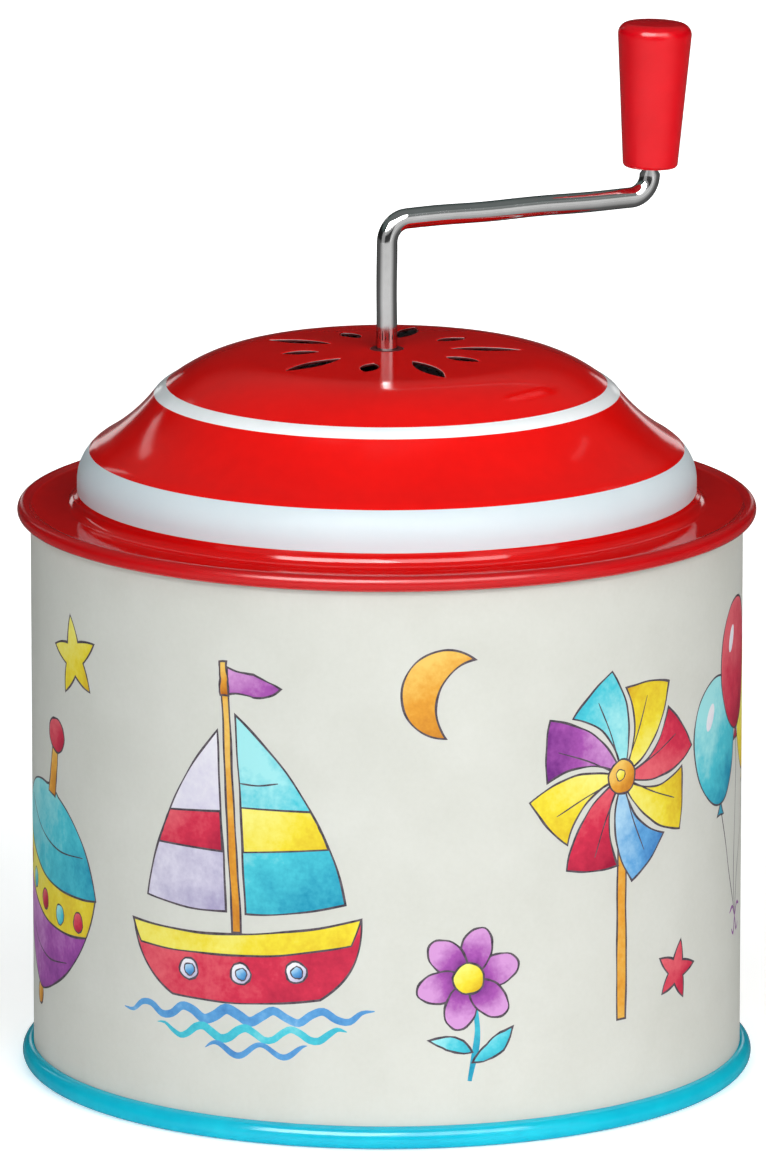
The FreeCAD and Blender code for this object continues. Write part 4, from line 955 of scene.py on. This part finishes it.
def wall_point(u, v):
    a = u / CAN_R
    r = CAN_R - (0.12 if SEAM0 + 1e-4 < u < SEAM1 - 1e-4 else 0.0)
    return (r * math.sin(a) * MM, -r * math.cos(a) * MM, v * MM), (math.sin(a), -math.cos(a), 0.0)


def wall_uv(u, v, half):
    """Front half of the wall above, back half below, the rest in a strip."""
    if half == 0:
        return 0.01 + 0.98 * (u + ROUND / 4) / (ROUND / 2), 0.53 + 0.46 * (v - WALL0) / (WALL1 - WALL0)
    w = u if u > 0 else u + ROUND
    return 0.01 + 0.98 * (w - ROUND / 4) / (ROUND / 2), 0.05 + 0.46 * (v - WALL0) / (WALL1 - WALL0)


b = Build()
for f, top in zip(tris, painted):
    q = [tuple(pts2[j]) for j in f]
    area = (q[1][0] - q[0][0]) * (q[2][1] - q[0][1]) - (q[2][0] - q[0][0]) * (q[1][1] - q[0][1])
    if abs(area) < 1e-12:
        continue
    if area < 0:
        q.reverse()
    mu = sum(p[0] for p in q) / 3
    if top >= 0:
        _, col, tn = layers[top]
        mi = can_keys.index(col)
        tone = [0.5 if tn is None else min(1.0, max(0.0, tn[4] + (p[0] - tn[0]) * tn[2] + (p[1] - tn[1]) * tn[3])) for p in q]
    else:
        mi = 3 if SEAM0 < mu < SEAM2 else 0
        tone = None
    half = 0 if abs(mu) < ROUND / 4 else 1
    pn = [wall_point(*p) for p in q]
    uv = [wall_uv(p[0] if half == 0 or p[0] * mu > 0 else -p[0], p[1], half) for p in q]
    b.face([p[0] for p in pn], [p[1] for p in pn], mi, tone, uv)

# seam shoulder, flanges and the plain inside of the can
ua = [u / CAN_R for u in us]


def plain(r0, z0, r1, z1, nrm0, nrm1, mi, band_v):
    """Ring of the can between two circles, in step with the wall's columns."""
    for i in range(len(ua) - 1):
        a0, a1 = ua[i], ua[i + 1]
        quad = []
        nn = []
        for (a, r, z, n) in ((a0, r0, z0, nrm0), (a1, r0, z0, nrm0), (a1, r1, z1, nrm1), (a0, r1, z1, nrm1)):
            quad.append((r * math.sin(a) * MM, -r * math.cos(a) * MM, z * MM))
            nn.append((n[0] * math.sin(a), -n[0] * math.cos(a), n[1]))
        x0 = 0.01 + 0.98 * i / (len(ua) - 1)
        x1 = 0.01 + 0.98 * (i + 1) / (len(ua) - 1)
        b.face(quad, nn, mi, None, [(x0, band_v), (x1, band_v), (x1, band_v + 0.004), (x0, band_v + 0.004)])


plain(CAN_R, WALL1, 36.70, WALL1, (0, -1), (0, -1), 0, 0.001)
plain(36.70, WALL1, 36.70, Z1, (1, 0), (1, 0), 2, 0.007)
plain(36.70, Z1, CAN_IN, Z1, (0, 1), (0, 1), 2, 0.013)
plain(CAN_IN, Z1, CAN_IN, Z0, (-1, 0), (-1, 0), 2, 0.019)
plain(CAN_IN, Z0, 36.50, Z0, (0, -1), (0, -1), 2, 0.025)
plain(36.50, Z0, 36.50, WALL0, (1, 0), (1, 0), 2, 0.031)
plain(36.50, WALL0, CAN_R, WALL0, (0, 1), (0, 1), 0, 0.037)
can = b.make("can_print_wall", can_mats, tones=True, uvs=True)
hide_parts("can_body")
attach(can, "case")

# ==================================================================== crank
AZ, LEAN = math.radians(26.5), math.radians(2.0)
REACH, ARM, BEND, WIRE = 29.90, 87.20, 2.25, 1.05
tl = BEND * math.tan((math.pi / 2 - LEAN) / 2)
line = [(0.0, z, WIRE) for z in np.linspace(43.2, ARM - BEND, 60)]
for t in np.linspace(math.pi, math.pi / 2, 15)[1:]:
    line.append((BEND + BEND * math.cos(t), ARM - BEND + BEND * math.sin(t), WIRE))
for x in np.linspace(BEND, REACH - tl, 44)[1:]:
    line.append((x, ARM, WIRE))
for t in np.linspace(-math.pi / 2, -LEAN, 15)[1:]:
    line.append((REACH - tl + BEND * math.cos(t), ARM + BEND + BEND * math.sin(t), WIRE))


def leg(s, r):
    line.append((REACH + s * math.sin(LEAN), ARM + s * math.cos(LEAN), r))


for s, r in ((tl + 0.08, 1.05), (tl + 0.15, 1.045), (tl + 0.22, 1.02), (2.70, 0.80), (2.78, 0.758), (2.88, 0.75), (3.4, 0.75), (6.0, 0.75), (13.39, 0.75),
             (13.40, 0.75), (13.55, 0.60), (14.45, 0.60), (14.60, 0.75), (14.61, 0.75), (15.9, 0.75), (16.2, 0.45), (16.2, 0.0)):
    leg(s, r)
cx, sx = math.cos(AZ), math.sin(AZ)
NW = 48
pl = np.array([(p[0], p[1]) for p in line])
tang = np.gradient(pl, axis=0)
for i in range(len(pl)):
    if np.hypot(*tang[i]) < 1e-9:
        tang[i] = tang[i - 1]
tang /= np.hypot(tang[:, 0], tang[:, 1])[:, None]
arcl = np.concatenate([[0], np.cumsum(np.hypot(*np.diff(pl, axis=0).T))])
rings, rnorm = [], []
for i, (x, z, r) in enumerate(line):
    fade = 1.0 if (z > 76 and i < len(line) - 18) else 0.0
    off = 0.035 * fade * math.sin(arcl[i] * 0.55) * min(1.0, max(0.0, (z - 76) / 4))
    side = 0.03 * fade * math.sin(arcl[i] * 0.41 + 1.0) * min(1.0, max(0.0, (z - 76) / 4))
    t = tang[i]
    n2 = np.array([-t[1], t[0]])
    ring, rn = [], []
    for k in range(NW):
        a = 2 * math.pi * k / NW
        rr = r * (1 + 0.006 * fade * math.sin(2 * a + arcl[i] * 0.8))
        px, pz = x + n2[0] * (rr * math.cos(a) + off), z + n2[1] * (rr * math.cos(a) + off)
        py = rr * math.sin(a) + side
        gx, gy = px * cx - py * sx, px * sx + py * cx
        if z < 51.65 and r > 0.7:
            gy = min(gy, 0.66)
        ring.append((gx * MM, gy * MM, pz * MM))
        nx, ny, nz = n2[0] * math.cos(a), math.sin(a), n2[1] * math.cos(a)
        rn.append((nx * cx - ny * sx, nx * sx + ny * cx, nz))
    rings.append(ring)
    rnorm.append(rn)
b = Build()
for i in range(len(rings) - 1):
    for k in range(NW):
        j = (k + 1) % NW
        b.face([rings[i][k], rings[i][j], rings[i + 1][j], rings[i + 1][k]][::-1],
               [rnorm[i][k], rnorm[i][j], rnorm[i + 1][j], rnorm[i + 1][k]][::-1], 0)
c0 = tuple(np.mean(np.array(rings[0]), axis=0))
for k in range(NW):
    j = (k + 1) % NW
    b.face([c0, rings[0][k], rings[0][j]], [(0, 0, -1)] * 3, 0)
crank = b.make("crank_wire", [CHROME])
crank.data.set_sharp_from_angle(angle=math.radians(40))
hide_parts("crank_rod")
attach(crank, "crank")

# ===================================================================== knob
axis = Vector((math.sin(LEAN) * cx, math.sin(LEAN) * sx, math.cos(LEAN)))
foot = Vector((REACH * cx, REACH * sx, ARM)) * MM + axis * 3.05 * MM
place = Matrix.Translation(foot) @ axis.to_track_quat("Z", "Y").to_matrix().to_4x4()
L, RH, RF, KC = 14.97, 3.78, 2.79, 32.0
sag = KC - math.sqrt(KC * KC - (RH - 1.12) ** 2)
kp = Path((1.05, 0.0))
kp.line((0.80, 0.25), 0, 2).line((0.80, 10.40), 0, 6).line((0.67, 10.60), 0).line((0.67, 11.30), 0).line((0.80, 11.50), 0)
kp.line((0.80, 13.30), 0, 2).line((0.55, 13.55), 0, 2).line((0.0, 13.80), 0, 2)
inside = Path((0.0, L))
inside.arc((RH - 1.12, L - sag), KC, 1, 0, 10)
inside.arc((RH, L - 1.22), 1.16, 1, 0, 16)
inside.line((RF + 0.03, 0.42), 0, 30)
inside.arc((RF - 0.40, 0.0), 0.44, 1, 0, 8)
inside.line((1.05, 0.0), 0, 3)
b = Build()
revolve(b, inside, False, 128, place)
kp.p.reverse()
revolve(b, kp, False, 128, place)
knob = b.make("knob_grip", [PLASTIC])
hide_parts("knob")
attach(knob, "knob")

# ============================================================ inner movement
BRASS = metal("turned_brass", lin(184, 142, 66), lin(222, 184, 104), (0.16, 0.28), 3.0, ("X", 0.22), 0.10)
BRASS_Z = metal("turned_brass_upright", lin(180, 138, 62), lin(220, 180, 100), (0.16, 0.28), 2.0, ("Z", 0.22), 0.10)
STEEL = metal("ground_steel", lin(140, 142, 146), lin(186, 188, 192), (0.18, 0.32), 2.5, None, 0.10, (6.0, 1.0, 1.0))
ZINC = metal("cast_zinc", lin(112, 114, 118), lin(154, 156, 160), (0.38, 0.56), 1.2, None, 0.30)
SHEET = metal("plated_sheet", lin(148, 150, 152), lin(190, 192, 194), (0.26, 0.40), 6.0, None, 0.06)
SCREW = metal("zinc_screw", lin(160, 158, 150), lin(206, 204, 196), (0.22, 0.36), 1.0, None, 0.10)
BLUED = metal("blued_spring", lin(44, 48, 62), lin(84, 88, 104), (0.22, 0.36), 1.4, None, 0.10)
LEAD = metal("soft_lead", lin(70, 72, 78), lin(110, 112, 118), (0.46, 0.64), 1.0, None, 0.30)
m = Mat("moulded_nylon")
m.to("Base Color", m.ramp(m.noise(2.0, 3.0), [(0.3, lin(222, 216, 196)), (0.7, lin(238, 234, 218))]))
m.to("Roughness", m.span(m.noise(0.8, 3.0), 0.36, 0.48, 0.3, 0.7))
m.bump(m.noise(0.5, 2.0), 0.06, 0.01)
NYLON = m.set(Subsurface_Weight=0.15, Subsurface_Radius=(0.001, 0.001, 0.0008), IOR=1.52).m
m = Mat("dark_red_nylon")
m.to("Base Color", m.ramp(m.noise(2.0, 3.0), [(0.3, lin(72, 10, 14)), (0.7, lin(92, 16, 20))]))
m.to("Roughness", m.span(m.noise(0.8, 3.0), 0.36, 0.48, 0.3, 0.7))
m.bump(m.noise(0.5, 2.0), 0.06, 0.01)
DARK_NYLON = m.set(Specular_IOR_Level=0.30, IOR=1.52).m
LOOK = {
    "crank_bush": DARK_NYLON, "worm_bush": BRASS_Z, "worm": BRASS_Z, "cylinder_drum": BRASS, "end_cap_left": BRASS,
    "end_cap_right": BRASS, "crank_retainer": BLUED, "drum_pins": STEEL, "cylinder_arbor": STEEL,
    "frame_screws": SCREW, "worm_bracket_screws": SCREW, "bearing_bracket_screws": SCREW, "comb_screws": SCREW,
    "movement_plate": SHEET, "worm_bracket": SHEET, "left_bearing_bracket": SHEET, "right_bearing_bracket": SHEET,
    "movement_frame": ZINC, "comb": STEEL, "tuning_weights": LEAD, "worm_wheel": NYLON,
    "can_body": CREAM, "lid": RED, "base": BLUE, "crank_rod": CHROME, "knob": PLASTIC,
}
for name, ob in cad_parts.items():
    look = LOOK[name]
    if not ob.material_slots:
        ob.data.materials.append(look)
    for s in ob.material_slots:
        s.material = look

# ==================================================================== stage
m = Mat("studio_floor")
m.to("Base Color", m.ramp(m.noise(220.0, 3.0), [(0.3, lin(247, 247, 247)), (0.7, lin(251, 251, 251))]))
m.to("Roughness", m.span(m.noise(9.0, 3.0), 0.62, 0.74, 0.3, 0.7))
# The floor glows as painted light: brighter behind the object and in the middle, fading towards the sides, and this
# glow also lights the pieces.
sep = m.t.nodes.new("ShaderNodeSeparateXYZ")
m.t.links.new(m.co.outputs["Object"], sep.inputs[0])
deep = m.span(sep.outputs["Y"], 0.38, 0.85, -0.05, 0.40)
side = m.span(m.math("ABSOLUTE", sep.outputs["X"], 0.0), 1.0, 0.12, 0.07, 0.30)
m.to("Emission Strength", m.math("MULTIPLY", deep, side))
FLOOR = m.set(Specular_IOR_Level=0.1, Emission_Color=(1, 1, 1, 1)).m
me = bpy.data.meshes.new("studio_floor")
n = 24
half = 2.4
verts, faces = [], []
for i in range(n + 1):
    for j in range(n + 1):
        verts.append((-half + 2 * half * i / n, -half + 2 * half * j / n, -0.00004))
for i in range(n):
    for j in range(n):
        a = i * (n + 1) + j
        faces.append((a, a + n + 1, a + n + 2, a + 1))
me.from_pydata(verts, [], faces)
me.materials.append(FLOOR)
floor = bpy.data.objects.new("studio_floor", me)
bpy.context.scene.collection.objects.link(floor)
floor.visible_glossy = False


def softbox(name, pos, aim, size, watts, colour=(1, 1, 1), spread=180.0):
    d = bpy.data.lights.new(name, "AREA")
    d.shape = "RECTANGLE"
    d.size, d.size_y = size
    d.energy = watts
    d.color = colour
    d.spread = math.radians(spread)
    o = bpy.data.objects.new(name, d)
    o.location = pos
    o.rotation_euler = (Vector(aim) - Vector(pos)).to_track_quat("-Z", "Y").to_euler()
    bpy.context.scene.collection.objects.link(o)
    return o


for lamp in (softbox("key_right", (0.69, -1.15, 0.74), (0, 0, 0.05), (1.10, 0.72), 15.1, (1.0, 0.995, 0.98)),
             softbox("top_front", (0.06, -0.76, 1.43), (0, 0, 0.05), (0.60, 0.50), 3.0),
             softbox("back_fill", (0.15, 1.35, 0.35), (0, 0, 0.05), (0.90, 0.50), 5.5),
             softbox("fill_left", (-0.49, -1.25, 0.74), (0, 0, 0.05), (0.60, 0.70), 10.2, (0.94, 0.99, 1.0))):
    lamp.visible_glossy = False
for pane in (softbox("window_right", (0.4446, -1.0225, 1.054), (0, 0, 0.05), (1.16, 0.86), 17.0),
             softbox("window_left", (-0.430, -1.029, 1.054), (0, 0, 0.05), (1.00, 0.86), 32.0),
             softbox("side_right_low", (1.086, -1.013, 0.259), (0, 0, 0.05), (0.975, 0.86), 1.32),
             softbox("side_right_high", (0.977, -0.911, 0.731), (0, 0, 0.05), (0.975, 1.34), 0.61),
             softbox("front_mid", (0.0, -1.414, 0.551), (0, 0, 0.05), (1.73, 0.342), 0.56),
             softbox("side_left_low", (-1.086, -1.013, 0.259), (0, 0, 0.05), (0.975, 0.86), 0.80),
             softbox("glint_right", (0.1017, 0.33, 0.084), (0.0375, 0, 0.058), (0.030, 0.055), 0.0055),
             softbox("glint_left", (-0.1017, 0.33, 0.084), (-0.0375, 0, 0.058), (0.030, 0.055), 0.0055)):
    pane.visible_diffuse = False
softbox("strip_back_left", (-0.64, 0.92, 0.52), (0, 0, 0.06), (0.08, 0.30), 0.09)
softbox("strip_back_right", (0.80, 0.55, 0.86), (0, 0, 0.06), (0.05, 0.24), 0.02)

world = bpy.data.worlds.new("studio")
world.use_nodes = True
bpy.context.scene.world = world
wt = world.node_tree
wt.nodes.clear()
wo = wt.nodes.new("ShaderNodeOutputWorld")
wb = wt.nodes.new("ShaderNodeBackground")
wc = wt.nodes.new("ShaderNodeTexCoord")
ws = wt.nodes.new("ShaderNodeSeparateXYZ")
wt.links.new(wc.outputs["Generated"], ws.inputs[0])


def sky(stops):
    """Colour by height, from straight down (0) to straight up (1)."""
    up = wt.nodes.new("ShaderNodeMapRange")
    up.inputs["From Min"].default_value = -1.0
    wt.links.new(ws.outputs["Z"], up.inputs["Value"])
    r = wt.nodes.new("ShaderNodeValToRGB")
    el = r.color_ramp.elements
    while len(el) < len(stops):
        el.new(0.5)
    for e, (pos, col) in zip(el, stops):
        e.position = pos
        e.color = (*col, 1.0)
    wt.links.new(up.outputs[0], r.inputs["Fac"])
    return r.outputs["Color"]


def blend(value, low, high, first, second):
    """From the first colour to the second as a value goes from low to high."""
    f = wt.nodes.new("ShaderNodeMapRange")
    f.inputs["From Min"].default_value = low
    f.inputs["From Max"].default_value = high
    wt.links.new(value, f.inputs["Value"])
    x = wt.nodes.new("ShaderNodeMixRGB")
    wt.links.new(f.outputs[0], x.inputs["Fac"])
    wt.links.new(first, x.inputs["Color1"])
    wt.links.new(second, x.inputs["Color2"])
    return x.outputs["Color"]


def grey(*stops):
    return sky([(p, v if isinstance(v, tuple) else (v, v, v)) for p, v in stops])


TEAL = (0.09, 0.125, 0.118)
ZENITH = (0.16, 0.17, 0.17)
front = grey((0.0, 0.70), (0.415, 0.70), (0.445, 0.06), (0.52, 0.04), (0.60, 0.05), (0.80, 0.05), (1.0, ZENITH))
back = grey((0.0, 0.12), (0.47, 0.10), (0.50, 0.02), (0.66, 0.015), (0.75, TEAL), (1.0, ZENITH))
wx = blend(ws.outputs["Y"], -0.80, -0.05, front, back)
wt.links.new(wx, wb.inputs["Color"])
wb.inputs["Strength"].default_value = 1.0
wt.links.new(wb.outputs[0], wo.inputs[0])

# =================================================================== camera
cd = bpy.data.cameras.new("photo_view")
cd.sensor_width = 36.0
cd.lens = 366.3
cd.clip_start, cd.clip_end = 0.05, 20.0
cam = bpy.data.objects.new("photo_view", cd)
aim = Vector((-0.000388, 0.0, 0.05018))
el_ = math.radians(12.36)
cam.location = aim + 1.1963 * Vector((0.0, -math.cos(el_), math.sin(el_)))
cam.rotation_euler = (aim - cam.location).to_track_quat("-Z", "Y").to_euler()
bpy.context.scene.collection.objects.link(cam)
bpy.context.scene.camera = cam
vs_ = bpy.context.scene.view_settings
vs_.view_transform = "Standard"
vs_.look = "None"
vs_.exposure = 0.0
vs_.gamma = 1.0
